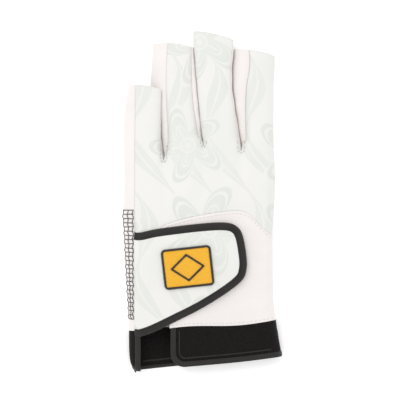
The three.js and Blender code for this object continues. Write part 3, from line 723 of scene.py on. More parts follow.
def stitches(plan, height, pitch=2.4, length=1.6, lift=0.12, sink=0.1):
    """Short arched stitches along a line of the plan, laid on a height."""
    marks = resampled(resampled(plan, 0.3), pitch)
    lines = []
    for start, end in zip(marks[:-1], marks[1:]):
        t = steps(4)[:, None]
        share = length / pitch
        flat = start + (end - start) * ((1 - share) / 2 + t * share)
        up = height_normals(height, flat[:, 0], flat[:, 1])
        base = stack(flat[:, 0], flat[:, 1], height(flat[:, 0], flat[:, 1]))
        line = base + up * ((lift + sink) * np.sin(np.pi * t) - sink)
        lines.append((line, up, [0.6, 0.95, 1, 0.95, 0.6]))
    return lines


# Colours, in linear light
def srgb(red, green, blue):
    def channel(value):
        value /= 255
        return value / 12.92 if value <= 0.04045 else ((value + 0.055) / 1.055) ** 2.4
    return (channel(red), channel(green), channel(blue), 1.0)


class Nodes:
    """A short way to write a material's nodes."""

    def __init__(self, name, roughness=0.6, sheen=0.0, specular=0.35):
        self.material = bpy.data.materials.new(name)
        self.material.use_nodes = True
        self.tree = self.material.node_tree
        self.shader = self.tree.nodes["Principled BSDF"]
        self.fill(self.shader, {"Roughness": roughness, "Specular IOR Level": specular,
                                "Sheen Weight": sheen, "Sheen Roughness": 0.5})
        self.place = None

    def feed(self, socket, value):
        if isinstance(value, bpy.types.NodeSocket):
            self.tree.links.new(value, socket)
        else:
            socket.default_value = value

    def fill(self, node, inputs):
        for key, value in inputs.items():
            self.feed(node.inputs[key], value)

    def node(self, kind, inputs, **settings):
        node = self.tree.nodes.new(kind)
        for key, value in settings.items():
            setattr(node, key, value)
        self.fill(node, inputs)
        return node

    def math(self, operation, *values):
        return self.node("ShaderNodeMath", dict(enumerate(values)), operation=operation).outputs[0]

    def plus(self, first, second):
        return self.math("ADD", first, second)

    def times(self, first, second):
        return self.math("MULTIPLY", first, second)

    def scaled(self, value, factor, offset):
        return self.math("MULTIPLY_ADD", value, factor, offset)

    def most(self, first, second):
        return self.math("MAXIMUM", first, second)

    def sine(self, value):
        return self.math("SINE", value)

    def spot(self):
        """The place on the piece, in millimetres."""
        if self.place is None:
            where = self.node("ShaderNodeTexCoord", {}).outputs["Object"]
            inputs = {0: where, "Scale": 1000.0}
            self.place = self.node("ShaderNodeVectorMath", inputs, operation="SCALE").outputs["Vector"]
        return self.place

    def uv(self):
        return self.node("ShaderNodeTexCoord", {}).outputs["UV"]

    def parts(self, vector):
        return tuple(self.node("ShaderNodeSeparateXYZ", {0: vector}).outputs)

    def noise(self, scale, detail=2.0):
        inputs = {"Vector": self.spot(), "Scale": scale, "Detail": detail, "Roughness": 0.55}
        return self.node("ShaderNodeTexNoise", inputs).outputs["Fac"]

    def cells(self, scale, vector=None, randomness=1.0, **settings):
        inputs = {"Vector": vector or self.spot(), "Scale": scale, "Randomness": randomness}
        return self.node("ShaderNodeTexVoronoi", inputs, **settings)

    def ramp(self, value, low, high, out_low=0.0, out_high=1.0, soft=True):
        kind = "SMOOTHSTEP" if soft else "LINEAR"
        inputs = dict(enumerate((value, low, high, out_low, out_high)))
        return self.node("ShaderNodeMapRange", inputs, interpolation_type=kind).outputs[0]

    def blend(self, share, first, second):
        return self.node("ShaderNodeMix", {0: share, 6: first, 7: second}, data_type="RGBA").outputs[2]

    def bump(self, height, distance, strength=1.0):
        inputs = {"Strength": strength, "Distance": distance / 1000, "Height": height}
        self.feed(self.shader.inputs["Normal"], self.node("ShaderNodeBump", inputs).outputs[0])

    def colour(self, value):
        self.feed(self.shader.inputs["Base Color"], value)


WARM_WHITE = srgb(238, 232, 230)
PRINT_TONE = srgb(218, 221, 214)
PRINT_LINE = srgb(232, 231, 228)


def leather_grain(nodes):
    """Fine pebbled grain with larger soft creases, as a height."""
    grain = nodes.cells(1.5).outputs["Distance"]
    fine = nodes.noise(2.6, 3.0)
    creases = nodes.noise(0.14, 3.0)
    return nodes.plus(nodes.plus(grain, nodes.times(fine, 0.7)),
                      nodes.times(creases, 1.5))


def leather_material():
    nodes = Nodes("white_leather", roughness=0.55)
    cloud = nodes.ramp(nodes.noise(0.05, 3.0), 0.3, 0.7)
    base = nodes.blend(cloud, WARM_WHITE, srgb(235, 230, 227))
    pores = nodes.ramp(nodes.cells(1.5).outputs["Distance"], 0.0, 0.35, 0.35, 0.0)
    nodes.colour(nodes.blend(pores, base, srgb(226, 220, 214)))
    nodes.bump(leather_grain(nodes), 0.09, 0.6)
    return nodes.material


def inside_material():
    nodes = Nodes("suede_inside", roughness=0.95, sheen=0.3)
    nodes.colour(nodes.blend(nodes.noise(0.9, 4.0), srgb(226, 220, 211), srgb(238, 234, 228)))
    nodes.bump(nodes.noise(3.5, 4.0), 0.15, 0.7)
    return nodes.material


def plan_place(nodes, offset):
    moved = nodes.node("ShaderNodeVectorMath", {0: nodes.spot(), 1: offset}, operation="ADD")
    x, y, _ = nodes.parts(moved.outputs[0])
    return nodes.node("ShaderNodeCombineXYZ", {0: x, 1: y}).outputs[0]


def blossom(nodes, spacing, offset, radius, petals, point):
    """Scattered blossoms: the share of the way out to a petal's edge, and how near a petal's middle."""
    flat = plan_place(nodes, offset)
    cell = nodes.cells(1 / spacing, flat, 0.3, voronoi_dimensions="2D")
    inputs = {0: flat, 1: cell.outputs["Position"]}
    away = nodes.node("ShaderNodeVectorMath", inputs, operation="SUBTRACT")
    dx, dy, _ = nodes.parts(away.outputs[0])
    chance, _, _ = nodes.parts(cell.outputs["Color"])
    distance = nodes.math("SQRT", nodes.plus(nodes.times(dx, dx), nodes.times(dy, dy)))
    angle = nodes.plus(nodes.math("ARCTAN2", dy, dx), nodes.times(chance, FULL_TURN))
    bend = nodes.scaled(distance, 0.35 / radius, angle)
    lobe = nodes.math("ABSOLUTE", nodes.sine(nodes.times(bend, petals / 2)))
    reach = nodes.scaled(nodes.math("POWER", lobe, point), 0.7 * radius, 0.3 * radius)
    size = nodes.scaled(chance, 0.25, 0.85)
    return nodes.math("DIVIDE", distance, nodes.times(reach, size)), lobe, distance


def band(nodes, value, low, high, soft):
    """1 between two values, with soft edges."""
    return nodes.times(nodes.ramp(value, low - soft, low + soft),
                      nodes.ramp(value, high - soft, high + soft, 1.0, 0.0))


def print_tone(nodes):
    """How dark the pale print is, from 0 to 1: blossoms with outlined petals over long leaves."""
    share, lobe, distance = blossom(nodes, PRINT_SPACING, (11.0, 27.0, 0.0), PRINT_RADIUS, PRINT_PETALS, 1.5)
    body = nodes.ramp(share, 0.96, 1.04, 1.0, 0.0)
    lines = nodes.most(band(nodes, share, 0.8, 0.88, 0.02), band(nodes, share, 0.52, 0.57, 0.02))
    vein = nodes.times(nodes.ramp(lobe, 0.985, 0.997), nodes.ramp(share, 0.4, 0.5, 1.0, 0.0))
    eye = nodes.ramp(distance, 1.4, 1.9, 1.0, 0.0)
    core = nodes.most(band(nodes, distance, 3.6, 4.6, 0.3), eye)
    light = nodes.most(nodes.most(lines, vein), core)
    depth = nodes.ramp(share, 0.1, 1.0, 0.55, 0.95, False)
    large = nodes.times(nodes.times(body, depth), nodes.scaled(light, -0.85, 1.0))
    flat = plan_place(nodes, (3.0, -14.0, 0.0))
    x, y, _ = nodes.parts(flat)
    sway = nodes.scaled(nodes.sine(nodes.times(y, 0.075)), 9.0, x)
    lane = nodes.math("PINGPONG", nodes.scaled(y, 0.3, sway), 11.0)
    swell = nodes.scaled(nodes.sine(nodes.times(y, 0.16)), 2.3, 3.2)
    leaf = nodes.math("DIVIDE", lane, nodes.most(swell, 0.4))
    leaves = nodes.times(nodes.ramp(leaf, 0.94, 1.06, 0.62, 0.0),
                        nodes.scaled(band(nodes, leaf, -0.2, 0.14, 0.05), -0.8, 1.0))
    behind = nodes.times(leaves, nodes.ramp(share, 1.06, 1.12))
    wash = nodes.ramp(nodes.noise(0.03, 2.0), 0.35, 0.7, 0.0, 0.3)
    return nodes.most(nodes.plus(large, behind), wash)


def print_material():
    nodes = Nodes("printed_back", roughness=0.58)
    tone = print_tone(nodes)
    nodes.colour(nodes.blend(tone, PRINT_LINE, PRINT_TONE))
    nodes.bump(leather_grain(nodes), 0.06, 0.5)
    return nodes.material


def ribbed(nodes, across, along):
    """A woven tape's height from its own length and width, in millimetres."""
    u, v, _ = nodes.parts(nodes.uv())
    ribs = nodes.sine(nodes.times(u, FULL_TURN / along))
    rows = nodes.sine(nodes.times(v, FULL_TURN / across))
    return nodes.scaled(nodes.times(ribs, rows), 0.5, 0.5)


def binding_material():
    nodes = Nodes("black_tape", roughness=0.6, sheen=0.12, specular=0.3)
    weave = ribbed(nodes, 0.55, 0.7)
    cloud = nodes.noise(0.12, 3.0)
    # Painted highlight and shade: the weave's crests are coloured lighter and its troughs darker; the cloud
    # blend is a random tone.
    base = nodes.blend(weave, srgb(24, 22, 21), srgb(40, 37, 35))
    nodes.colour(nodes.blend(nodes.ramp(cloud, 0.35, 0.7, 0.0, 0.35), base, srgb(46, 43, 41)))
    nodes.bump(weave, 0.12, 0.8)
    return nodes.material


def cuff_material():
    nodes = Nodes("black_elastic", roughness=0.9, sheen=0.06, specular=0.2)
    loops = nodes.cells(1.25).outputs["Distance"]
    u, v, _ = nodes.parts(nodes.spot())
    rib = nodes.sine(nodes.times(u, FULL_TURN / 1.1))
    height = nodes.plus(loops, nodes.times(rib, 0.12))
    nodes.colour(nodes.blend(nodes.ramp(loops, 0.1, 0.7), srgb(27, 21, 20), srgb(13, 10, 10)))
    nodes.bump(height, 0.22, 0.8)
    return nodes.material


def satin_material(name, light, dark, pitch, roughness=0.42):
    """Embroidery thread: rows of satin stitches along the piece's own width, with a painted highlight on each
    thread's crest and painted shade in the grooves and joints between them.
    """
    nodes = Nodes(name, roughness=roughness, sheen=0.35, specular=0.45)
    u, v, _ = nodes.parts(nodes.uv())
    sway = nodes.scaled(nodes.noise(0.5, 2.0), 0.5, 0.0)
    thread = nodes.sine(nodes.times(nodes.plus(u, sway), FULL_TURN / pitch))
    row = nodes.math("FLOOR", nodes.math("DIVIDE", nodes.plus(u, sway), pitch))
    brick = nodes.plus(nodes.times(v, 0.28), nodes.times(row, 0.37))
    joint = nodes.ramp(nodes.math("PINGPONG", brick, 0.5), 0.0, 0.07)
    height = nodes.times(nodes.scaled(thread, 0.5, 0.5), joint)
    # Painted highlight and shade: the colour follows the stitch height, light on the crests and dark in the
    # grooves and joints.
    share = nodes.ramp(height, 0.0, 0.6)
    nodes.colour(nodes.blend(share, dark, light))
    nodes.bump(height, 0.16, 0.9)
    return nodes.material


def thread_material(name, colour):
    nodes = Nodes(name, roughness=0.7, sheen=0.2)
    twist = nodes.sine(nodes.times(nodes.noise(1.4, 2.0), 40.0))
    dark = tuple(value * 0.7 for value in colour[:3]) + (1.0,)
    nodes.colour(nodes.blend(nodes.scaled(twist, 0.5, 0.5), dark, colour))
    return nodes.material


PRINT = print_material()
LEATHER = leather_material()
INSIDE = inside_material()
BINDING = binding_material()
CUFF = cuff_material()
PATCH = satin_material("patch_satin", srgb(255, 200, 30), srgb(240, 158, 8), 0.55)
PATCH_DARK = satin_material("patch_edge", srgb(34, 20, 12), srgb(12, 7, 4), 0.5, 0.5)
WHITE_THREAD = thread_material("white_thread", srgb(236, 231, 228))
ROOT_THREAD = thread_material("root_thread", srgb(206, 202, 196))
GREY_THREAD = thread_material("grey_thread", srgb(104, 103, 104))
BLACK_THREAD = thread_material("black_thread", srgb(38, 35, 34))


def finished(piece, slot, *nodes):
    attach(piece, "root")
    if nodes:
        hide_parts(*nodes)
    return piece


# Places on a finger or on its share of the hand. Row 0 is the crotch, positive rows reach the tip
# at 1 and negative rows reach the lower edge at -1.
def crotch_row(finger, column):
    return mix(crotch(finger)[1], crotch(finger + 1)[1], column)


def start_x(side, finger, y):
    if side == "back" and finger == 0:
        return SEAM_X + CREASE_GAP / 2 + 0 * y
    return finger_edge(side, finger, 0, y)


def settled(side, finger, column, base, right_edge, height_at):
    """A place in a column, where its x depends on its y and its y on its x."""
    y = base
    for _ in range(4):
        x = mix(start_x(side, finger, y), right_edge(y), column)
        y = height_at(x)
    return mix(start_x(side, finger, y), right_edge(y), column), y


def finger_place(side, finger, column, row):
    base = crotch_row(finger, column) + 0 * row
    return settled(side, finger, column, base, lambda y: finger_edge(side, finger, 1, y),
                   lambda x: mix(base, tip_y(finger, x), row))


def hand_place(side, finger, column, row, lower_edge):
    base = crotch_row(finger, column) + 0 * row
    return settled(side, finger, column, base,
                   lambda y: right_x(y) if finger == 3 else parting_x(finger + 1, y),
                   lambda x: mix(base, lower_edge(x), -row))


def hand_or_finger(side, finger, row, column, lower_edge):
    x, y = hand_place(side, finger, column, np.minimum(row, 0), lower_edge)
    tip_x, tip = finger_place(side, finger, column, np.maximum(row, 0))
    return np.where(row > 0, tip_x, x), np.where(row > 0, tip, y)


def back_panel():
    shell = Shell()
    rows = np.concatenate([-eased(70)[::-1][:-1], steps(70)])

    def lower_edge(x):
        return landing_y(x) + CREASE_GAP / 2

    for finger in range(4):
        def place(row, column):
            x, y = hand_or_finger("back", finger, row, column, lower_edge)
            z = surface_height("back", finger, x, y) + seam_roll(y - landing_y(x))
            if finger == 0:
                z = z + seam_roll(x - SEAM_X)
            return outer(stack(x, y, z))
        shell.grid(rows, eased(26), place)
    piece = finished(shell.build("glove_back", LEATHER_WALL, [PRINT, INSIDE]), "print", "back_panel")


# The gathered outer side
GATHER_TOP = float(along_y(GATHER["top"]))
GATHER_BOTTOM = float(along_y(GATHER["bottom"]))
GATHER_COUNT = round((GATHER_TOP - GATHER_BOTTOM) / GATHER_PITCH)
LADDER_RIGHT = SEAM_X - LADDER_SEAM_GAP


def ladder_share(x, y):
    """Where a place lies between the ladder's outer line, at 0, and its line by the seam, at 1."""
    left = left_x(y) + LADDER_INSET
    return (x - left) / (LADDER_RIGHT - left)


def gather_puff(x, y):
    """How far the leather puffs out between the rows of elastic thread."""
    share = ladder_share(x, y)
    rows = np.abs(np.sin(np.pi * GATHER_COUNT * (GATHER_TOP - y) / (GATHER_TOP - GATHER_BOTTOM)))
    lanes = np.abs(np.sin(np.pi * GATHER_LANES * clamp(share, -0.4, 1.0)))
    fade = smooth((GATHER_TOP - y) / 1.5) * smooth((y - GATHER_BOTTOM) / 1.5)
    pinch = np.where(share > 1, 0, 0.35 + 0.65 * lanes**0.6)
    return GATHER_DEPTH * rows**0.6 * pinch * fade * smooth((1.15 - share) / 0.15)


def wrap_point(wrap, y):
    """The outer side: wrap 1 is the back seam and wrap 0 the outline."""
    x = mix(left_x(y), SEAM_X - CREASE_GAP / 2, wrap)
    z = surface_height("back", 0, x, y) + seam_roll(SEAM_X - x)
    z = np.where(wrap <= 0, side_height(y) + SEAM_GAP / 2, z)
    puff = gather_puff(x, y)
    lean = mix(1.0, 0.35, wrap)
    return stack(x - puff * lean, y, z + puff * (1 - lean) * 0.9)


def palm_rows():
    fine = 7 * GATHER_COUNT
    hand = [steps(14, -1.0, -0.93)[:-1], steps(fine, -0.93, -0.29)[:-1], steps(34, -0.29, 0.0)[:-1]]
    return np.concatenate(hand + [steps(56)])


def palm_panel():
    shell = Shell(True)
    rows = palm_rows()

    def lower_edge(x):
        return cuff_y("top", x) + CREASE_GAP / 2

    def row_y(row):
        return hand_or_finger("palm", 0, row, 0 * row, lower_edge)[1]

    shell.grid(rows, 1 - eased(22), lambda row, wrap: outer(wrap_point(wrap, row_y(row))))

    def side_strip(row, end):
        y = row_y(row)
        upper = wrap_point(0 * row, y)
        x, y2 = hand_or_finger("palm", 0, row, 0 * row, lower_edge)
        lower = stack(x - gather_puff(x, y2), y2, surface_height("palm", 0, x, y2))
        return outer(np.where(end[..., None] > 0.5, upper, lower))

    shell.grid(rows, np.array([1.0, 0.0]), side_strip)
    for finger in range(4):
        def place(row, column):
            x, y = hand_or_finger("palm", finger, row, column, lower_edge)
            z = surface_height("palm", finger, x, y)
            puff = gather_puff(x, y) * smooth(1 - column * 5) if finger == 0 else 0
            return outer(stack(x - puff, y, np.maximum(z, UNDER_CLEARANCE)))
        shell.grid(rows, eased(16), place)
    piece = shell.build("glove_palm", LEATHER_WALL, [LEATHER, INSIDE], hole=thumb_hole)
    finished(piece, "leather", "palm_panel")


def hole_share(x, y):
    across = (x - THUMB_FOOT[0]) * THUMB_SIDE[0] + (y - THUMB_FOOT[1]) * THUMB_SIDE[1]
    along = (x - THUMB_FOOT[0]) * THUMB_AXIS[0] + (y - THUMB_FOOT[1]) * THUMB_AXIS[1]
    return np.hypot(across / (THUMB_HOLE_WIDTH / 2), along / (THUMB_HOLE_LENGTH / 2))


def thumb_hole(points, triangles, uv):
    """Opens the palm where the thumb is sewn in, and draws its rim to the hole's oval."""
    middle = points[triangles].mean(axis=1)
    share = hole_share(middle[:, 0], middle[:, 1])
    under = middle[:, 2] < hand_top(middle[:, 0], middle[:, 1]) - 2
    keep = ~((share < 1) & under)
    cut = triangles[~keep]
    rim = np.intersect1d(np.unique(cut), np.unique(triangles[keep]))
    x, y = points[rim, 0], points[rim, 1]
    scale = 1 / hole_share(x, y)
    new_x = THUMB_FOOT[0] + (x - THUMB_FOOT[0]) * scale
    new_y = THUMB_FOOT[1] + (y - THUMB_FOOT[1]) * scale
    points = points.copy()
    points[rim] = stack(new_x, new_y, surface_height("palm", 3, new_x, new_y))
    used = np.unique(triangles[keep])
    renumber = np.full(len(points), -1)
    renumber[used] = np.arange(len(used))
    return points[used], renumber[triangles[keep]], uv[keep]


def oval(angle, margin):
    across = (THUMB_HOLE_WIDTH / 2 + margin) * np.cos(angle)
    along = (THUMB_HOLE_LENGTH / 2 + margin) * np.sin(angle)
    return (THUMB_FOOT[0] + across * THUMB_SIDE[0] + along * THUMB_AXIS[0],
            THUMB_FOOT[1] + across * THUMB_SIDE[1] + along * THUMB_AXIS[1])


def thumb_point(row, angle):
    rim_x, rim_y = oval(angle, LEATHER_WALL)
    rim_z = hand_under(rim_x, rim_y) - 2 * SEAM_GAP
    cosine, sine = np.cos(angle), np.sin(angle)
    side = np.sign(cosine) * np.abs(cosine) ** THUMB_SQUARENESS
    rise = np.sign(sine) * np.abs(sine) ** THUMB_SQUARENESS
    end_x = THUMB_END[0] + THUMB_SIDE[0] * side * THUMB_WIDTH / 2
    end_y = THUMB_END[1] + THUMB_SIDE[1] * side * THUMB_WIDTH / 2
    end_z = THUMB_HEIGHT / 2 * (1 + rise)
    z = mix(rim_z, end_z, 1 - (1 - row) ** 3)
    fade = smooth(row * 5) * smooth((0.9 - row) * 4) * clamp(0.5 - sine)
    ripple = 0.22 * np.sin(row * 26 + 1.5 * side) * fade
    return stack(mix(rim_x, end_x, row), mix(rim_y, end_y, row), np.maximum(z + ripple, UNDER_CLEARANCE))


def thumb():
    shell = Shell(True)
    shell.grid(eased(44) * 0.5 + steps(44) * 0.5, steps(96, 0, FULL_TURN),
               lambda row, angle: outer(thumb_point(row, np.where(angle > FULL_TURN - 0.001, 0, angle))))
    piece = finished(shell.build("glove_thumb", LEATHER_WALL, [LEATHER, INSIDE]), "leather", "thumb")


def fourchette(k, name):
    """A side strip runs down one finger, round the crotch and up the next finger."""
    shell = Shell(True)
    rows = eased(64) * 0.4 + steps(64) * 0.6
    stations = [(k - 1, 1.0, row) for row in rows[::-1]] + [(k, 0.0, row) for row in rows[1:]]

    def corners(side):
        found = []
        for finger, column, row in stations:
            x, y = finger_place(side, finger, np.array(column), np.array(row))
            found.append([float(x), float(y), float(surface_height(side, finger, x, y))])
        return np.array(found)

    top, bottom = corners("back"), corners("palm")
    row_of = np.array([row for _, _, row in stations])
    outward = np.array([1 if column > 0.5 else -1 for _, column, _ in stations])
    run = bottom - top
    away = np.stack([-run[:, 2], 0 * run[:, 2], run[:, 0]], 1) * outward[:, None]
    away = unit(away)
    away[away[:, 2] < 0, 2] *= 0.3
    swell = np.zeros(len(stations))
    bias = np.ones(len(stations))
    middle = mix(top, bottom, 0.4)
    sides = {sign: middle[outward == sign][np.argsort(middle[outward == sign][:, 1])] for sign in (1, -1)}
    for sign in (1, -1):
        root, half, free, skew = SIDE_SWELL[k, sign]
        mine, other = outward == sign, sides[-sign]
        y = middle[mine, 1]
        gap = np.abs(np.interp(y, other[:, 1], other[:, 0]) - middle[mine, 0])
        share = np.interp(row_of[mine], [0, 0.3, 1], [root, half, half])
        beyond = smooth((y - other[-1, 1]) / 4)
        swell[mine] = mix(np.minimum(share * gap, 2.8), free, beyond) * smooth(row_of[mine] * 12)
        bias[mine] = skew

    def place(index, across):
        i = index.astype(int)
        length = np.linalg.norm(top[i] - bottom[i], axis=-1)
        trim = CREASE_GAP / length
        share = mix(trim, 1 - trim, across)
        lobe = np.sin(np.pi * across ** bias[i]) ** 0.8
        ripple = 0.12 * np.sin(row_of[i] * 31 + 2 * across) * lobe * smooth(row_of[i] * 3)
        point = mix(top[i], bottom[i], share[..., None]) + away[i] * (swell[i] * lobe + ripple)[..., None]
        return outer(stack(point[..., 0], point[..., 1], np.maximum(point[..., 2], 0.1)))

    shell.grid(np.arange(len(stations)), steps(22), place)
    piece = shell.build(name.replace("fourchette", "side_strip"), LEATHER_WALL, [LEATHER, INSIDE])
    finished(piece, "leather", name)


def landing_panel():
    shell = Shell()

    def place(row, column):
        y = along_y(-0.7) + 0 * row
        for _ in range(5):
            x = mix(slit_x(y), right_x(y), column)
            y = mix(cuff_y("top", x) + CREASE_GAP / 2, landing_y(x) - CREASE_GAP / 2, row)
        roll = seam_roll(y - landing_y(x)) + seam_roll(y - cuff_y("top", x))
        return outer(stack(x, y, top_surface(x, y) + roll * smooth((right_x(y) - x) / 2)))

    shell.grid(eased(80), eased(80), place)
    piece = finished(shell.build("plain_panel", LEATHER_WALL, [LEATHER, INSIDE]), "leather", "landing_panel")


# The tab lies over the back and lifts towards its free end, over the hook pad
def tab_top(x, y):
    lifted = smooth((x / PALM_WIDTH - TAB_LIFT["start"]) / TAB_LIFT["over"])
    lift = mix(TAB_CLEARANCE, PAD_WALL + 2 * TAB_CLEARANCE, lifted) + TAB_WALL
    sewn = smooth((x - SEAM_X) / TAB_SEWN)
    return hand_top(x, y) + mix(SEAM_GAP, lift + 0.5 * np.maximum(folds(x, y), 0), sewn)


def tab_edge(share):
    rows = TAB_EDGE["rows"]
    last = len(rows) - 1
    place = clamp(share) * last
    i = np.minimum(np.floor(place).astype(int), last - 1)
    t = place - i

    def bend(column, scale):
        p, q, r, s = (rows[np.clip(i + n, 0, last), column] * scale for n in (-1, 0, 1, 2))
        bow = (2 * p - 5 * q + 4 * r - s) * t**2
        return 0.5 * (2 * q + (r - p) * t + bow + (3 * q - p - 3 * r + s) * t**3)

    return bend(0, PALM_WIDTH), bend(1, HAND_LENGTH)


def tab_inset(share, distance):
    """The tab's edge set in by a distance, kept square to its sewn end."""
    step = 0.004
    ahead = tab_edge(np.minimum(1, share + step))
    behind = tab_edge(np.maximum(0, share - step))
    dx, dy = ahead[0] - behind[0], ahead[1] - behind[1]
    size = np.hypot(dx, dy)
    x, y = tab_edge(share)
    x = x + dy / size * distance
    y = y - dx / size * distance
    end = smooth(np.minimum(share, 1 - share) / TAB_END_SHARE)
    return mix(across_x(TAB_EDGE["rows"][0][0]), x, end), y


def tab_field(inset, v, u):
    """A Coons patch between the tab's four sides, set in by a distance."""
    upper, lower = TAB_CORNERS["upper"], TAB_CORNERS["lower"]

    def edge(share):
        return np.stack(tab_inset(share, inset), -1)

    top, bottom = edge(u * upper), edge(1 - u * (1 - lower))
    low_left, high_left = edge(np.ones(1)), edge(np.zeros(1))
    low_right, high_right = edge(np.full(1, lower)), edge(np.full(1, upper))
    v, u = v[..., None], u[..., None]
    left = mix(low_left, high_left, v)
    right = edge(mix(lower, upper, v[..., 0]))
    corners = mix(mix(low_left, low_right, u), mix(high_left, high_right, u), v)
    return mix(bottom, top, v) + mix(left, right, u) - corners


def sewn_wall(wall):
    """The tab's layers thin out to nothing much at its sewn end."""
    sewn_x = across_x(TAB_EDGE["rows"][0][0])

    def depth(points):
        return mix(SEWN_WALL, wall, smooth((points[:, 0] - sewn_x) / TAB_SEWN))

    return depth


def closure_tab():
    shell = Shell()

    def place(v, u):
        flat = tab_field(BINDING_WIDTH - 0.5, v, u)
        x, y = flat[..., 0], flat[..., 1]
        return outer(stack(x, y, tab_top(x, y)))

    shell.grid(steps(70), steps(90), place)
    piece = shell.build("tab", TAB_WALL, [PRINT, INSIDE], 0.12, depth=sewn_wall(TAB_WALL), facing=UP)
    piece = finished(piece, "print", "closure_tab")


def edge_binding():
    """A folded tape round the tab's edge, fuller at its outer side."""
    shell = Shell(True)

    def place(across, share):
        x, y = tab_inset(share, BINDING_WIDTH * across)
        swell = BINDING_RISE * turn(np.minimum(across, 1 - across) * BINDING_WIDTH, 1.5)
        swell = swell - TAPE_FALL * (1 - turn(across * BINDING_WIDTH, 1.4))
        swell = swell - TAPE_GROOVE * np.exp(-(((across - TAPE_STITCH) / 0.05) ** 2))
        swell = swell * smooth(np.minimum(share, 1 - share) / TAB_END_SHARE)
        return stack(x, y, tab_top(x, y) + swell), np.stack([share * TAPE_LENGTH, across * BINDING_WIDTH], -1)

    shell.grid(eased(26), steps(420), place)
    piece = shell.build("tab_tape", BINDING_WALL, [BINDING], 0.2, depth=sewn_wall(BINDING_WALL), facing=UP)
    return finished(piece, "binding", "tab_binding")


# The patch is a rounded rectangle turned a little against the hand
def patch_frame(x, y):
    cosine, sine = math.cos(math.radians(PATCH_TURN)), math.sin(math.radians(PATCH_TURN))
    centre_x, centre_y = across_x(PATCH_CENTRE["across"]), float(along_y(PATCH_CENTRE["along"]))
    return centre_x + x * cosine - y * sine, centre_y + x * sine + y * cosine


def patch_loop(angle, inset):
    """A point of the patch's outline, set in by a distance."""
    radius = np.maximum(PATCH_CORNER - inset, 0.4)
    half_x = PATCH_WIDTH / 2 - inset - radius
    half_y = PATCH_HEIGHT / 2 - inset - radius
    quarter = np.floor(angle / (math.pi / 2)) % 4
    sign_x = np.where((quarter == 0) | (quarter == 3), 1, -1)
    sign_y = np.where(quarter < 2, 1, -1)
    return sign_x * half_x + radius * np.cos(angle), sign_y * half_y + radius * np.sin(angle)


def patch_outline(inset):
    """Points round the patch at an even pitch, closed."""
    corner = steps(8, 0.001, math.pi / 2 - 0.001)
    angles = np.concatenate([quarter * math.pi / 2 + corner for quarter in range(4)])
    loop = np.stack(patch_loop(angles, inset), 1)
    return resampled(np.concatenate([loop, loop[:1]]), ROPE_STEP)


def patch_field():
    shell = Shell()

    def place(row, column):
        x = (column - 0.5) * (PATCH_WIDTH - 2 * PATCH_BORDER + 0.6)
        y = (row - 0.5) * (PATCH_HEIGHT - 2 * PATCH_BORDER + 0.6)
        edge = np.minimum(PATCH_WIDTH / 2 - np.abs(x), PATCH_HEIGHT / 2 - np.abs(y)) - PATCH_BORDER + 0.3
        diamond = np.abs(x) / MOTIF["half_width"] + np.abs(y) / MOTIF["half_height"]
        groove = -0.35 * np.exp(-(((diamond - 1) / 0.09) ** 2))
        puff = 0.35 * turn(edge, 2.0) + 0.12 * np.sin(x * 2 * np.pi / 0.9) ** 2 * 0.3
        px, py = patch_frame(x, y)
        z = tab_top(px, py) + PATCH_SEAT + PATCH_WALL * 0.6 + puff + groove
        return stack(px, py, z), np.stack([y, x], -1)

    shell.grid(steps(90), steps(110), place)
    return finished(shell.build("patch_fill", PATCH_WALL, [PATCH]), "patch", "patch_field")


def rope(name, line, width, height):
    """A satin-stitched cord: slanting stitches over a rounded core along a closed line of the plan."""
    shell = Shell()
    length = running_length(line)
    tangent = np.gradient(line, axis=0)
    tangent[0] = tangent[-1] = (line[1] - line[-2]) / 2
    tangent = unit(tangent)

    def place(index, across):
        i = index.astype(int)
        offset = (across - 0.5) * width
        x = line[i, 0] + tangent[i, 1] * offset
        y = line[i, 1] - tangent[i, 0] * offset
        thread = np.abs(np.sin(np.pi * (length[i] + 0.5 * offset) / ROPE_STITCH))
        crown = np.sqrt(clamp(1 - (2 * across - 1) ** 2))
        px, py = patch_frame(x, y)
        z = tab_top(px, py) + PATCH_SEAT + height * crown + 0.08 * thread * crown
        return stack(px, py, z), np.stack([length[i] + 0.5 * offset, offset], -1)

    shell.grid(np.arange(len(line)), eased(10), place)
    return shell.build(name, 0.5, [PATCH_DARK], rim=0.02, rings=2)


def patch_edges():
    border = rope("patch_rim", patch_outline(PATCH_BORDER / 2), PATCH_BORDER, 1.35)
    finished(border, "patch_border", "patch_border")
    corners = [(1, 0), (0, 1), (-1, 0), (0, -1), (1, 0)]
    loop = np.array([[a * MOTIF["half_width"], b * MOTIF["half_height"]] for a, b in corners], float)
    finished(rope("patch_diamond", resampled(loop, ROPE_STEP), MOTIF_LINE, 1.6), "patch_border")


def closure_pad():
    shell = Shell()

    def place(row, column):
        x = across_x(mix(PAD_SPAN["left"], PAD_SPAN["right"], column))
        y = along_y(mix(PAD_SPAN["lower"], PAD_SPAN["upper"], row))
        return outer(stack(x, y, tab_top(x, y) - TAB_WALL - TAB_CLEARANCE))

    shell.grid(steps(24), steps(16), place)
    return finished(shell.build("hook_pad", PAD_WALL, [CUFF]), "cuff", "closure_pad")


# The cuff wraps from its right edge by the slit, round under the palm, to its left free edge.
# A column of it lies on top or under, at an x, at a distance from a side or at a share of the fold.
FOLD_END = across_x(CUFF_FREE_EDGE) - CUFF_BINDING_WIDTH


def cuff_x(column, y):
    kind, value, short = column[0], column[1], column[3]
    if kind == "left":
        return left_x(y) + value
    if kind == "right":
        return right_x(y) - value
    if kind == "fold":
        return mix(left_x(y), FOLD_END - short, value)
    return value + 0 * y


def cuff_point(column, height_at, row):
    x = {"left": FOLD_END, "fold": FOLD_END, "right": across_x(1.0)}.get(column[0], column[1]) + 0 * row
    for _ in range(4):
        y = height_at(x)
        x = cuff_x(column, y)
    z = hand_under(x, y) if column[2] else hand_top(x, y)
    return stack(x, y, np.maximum(z, UNDER_CLEARANCE))


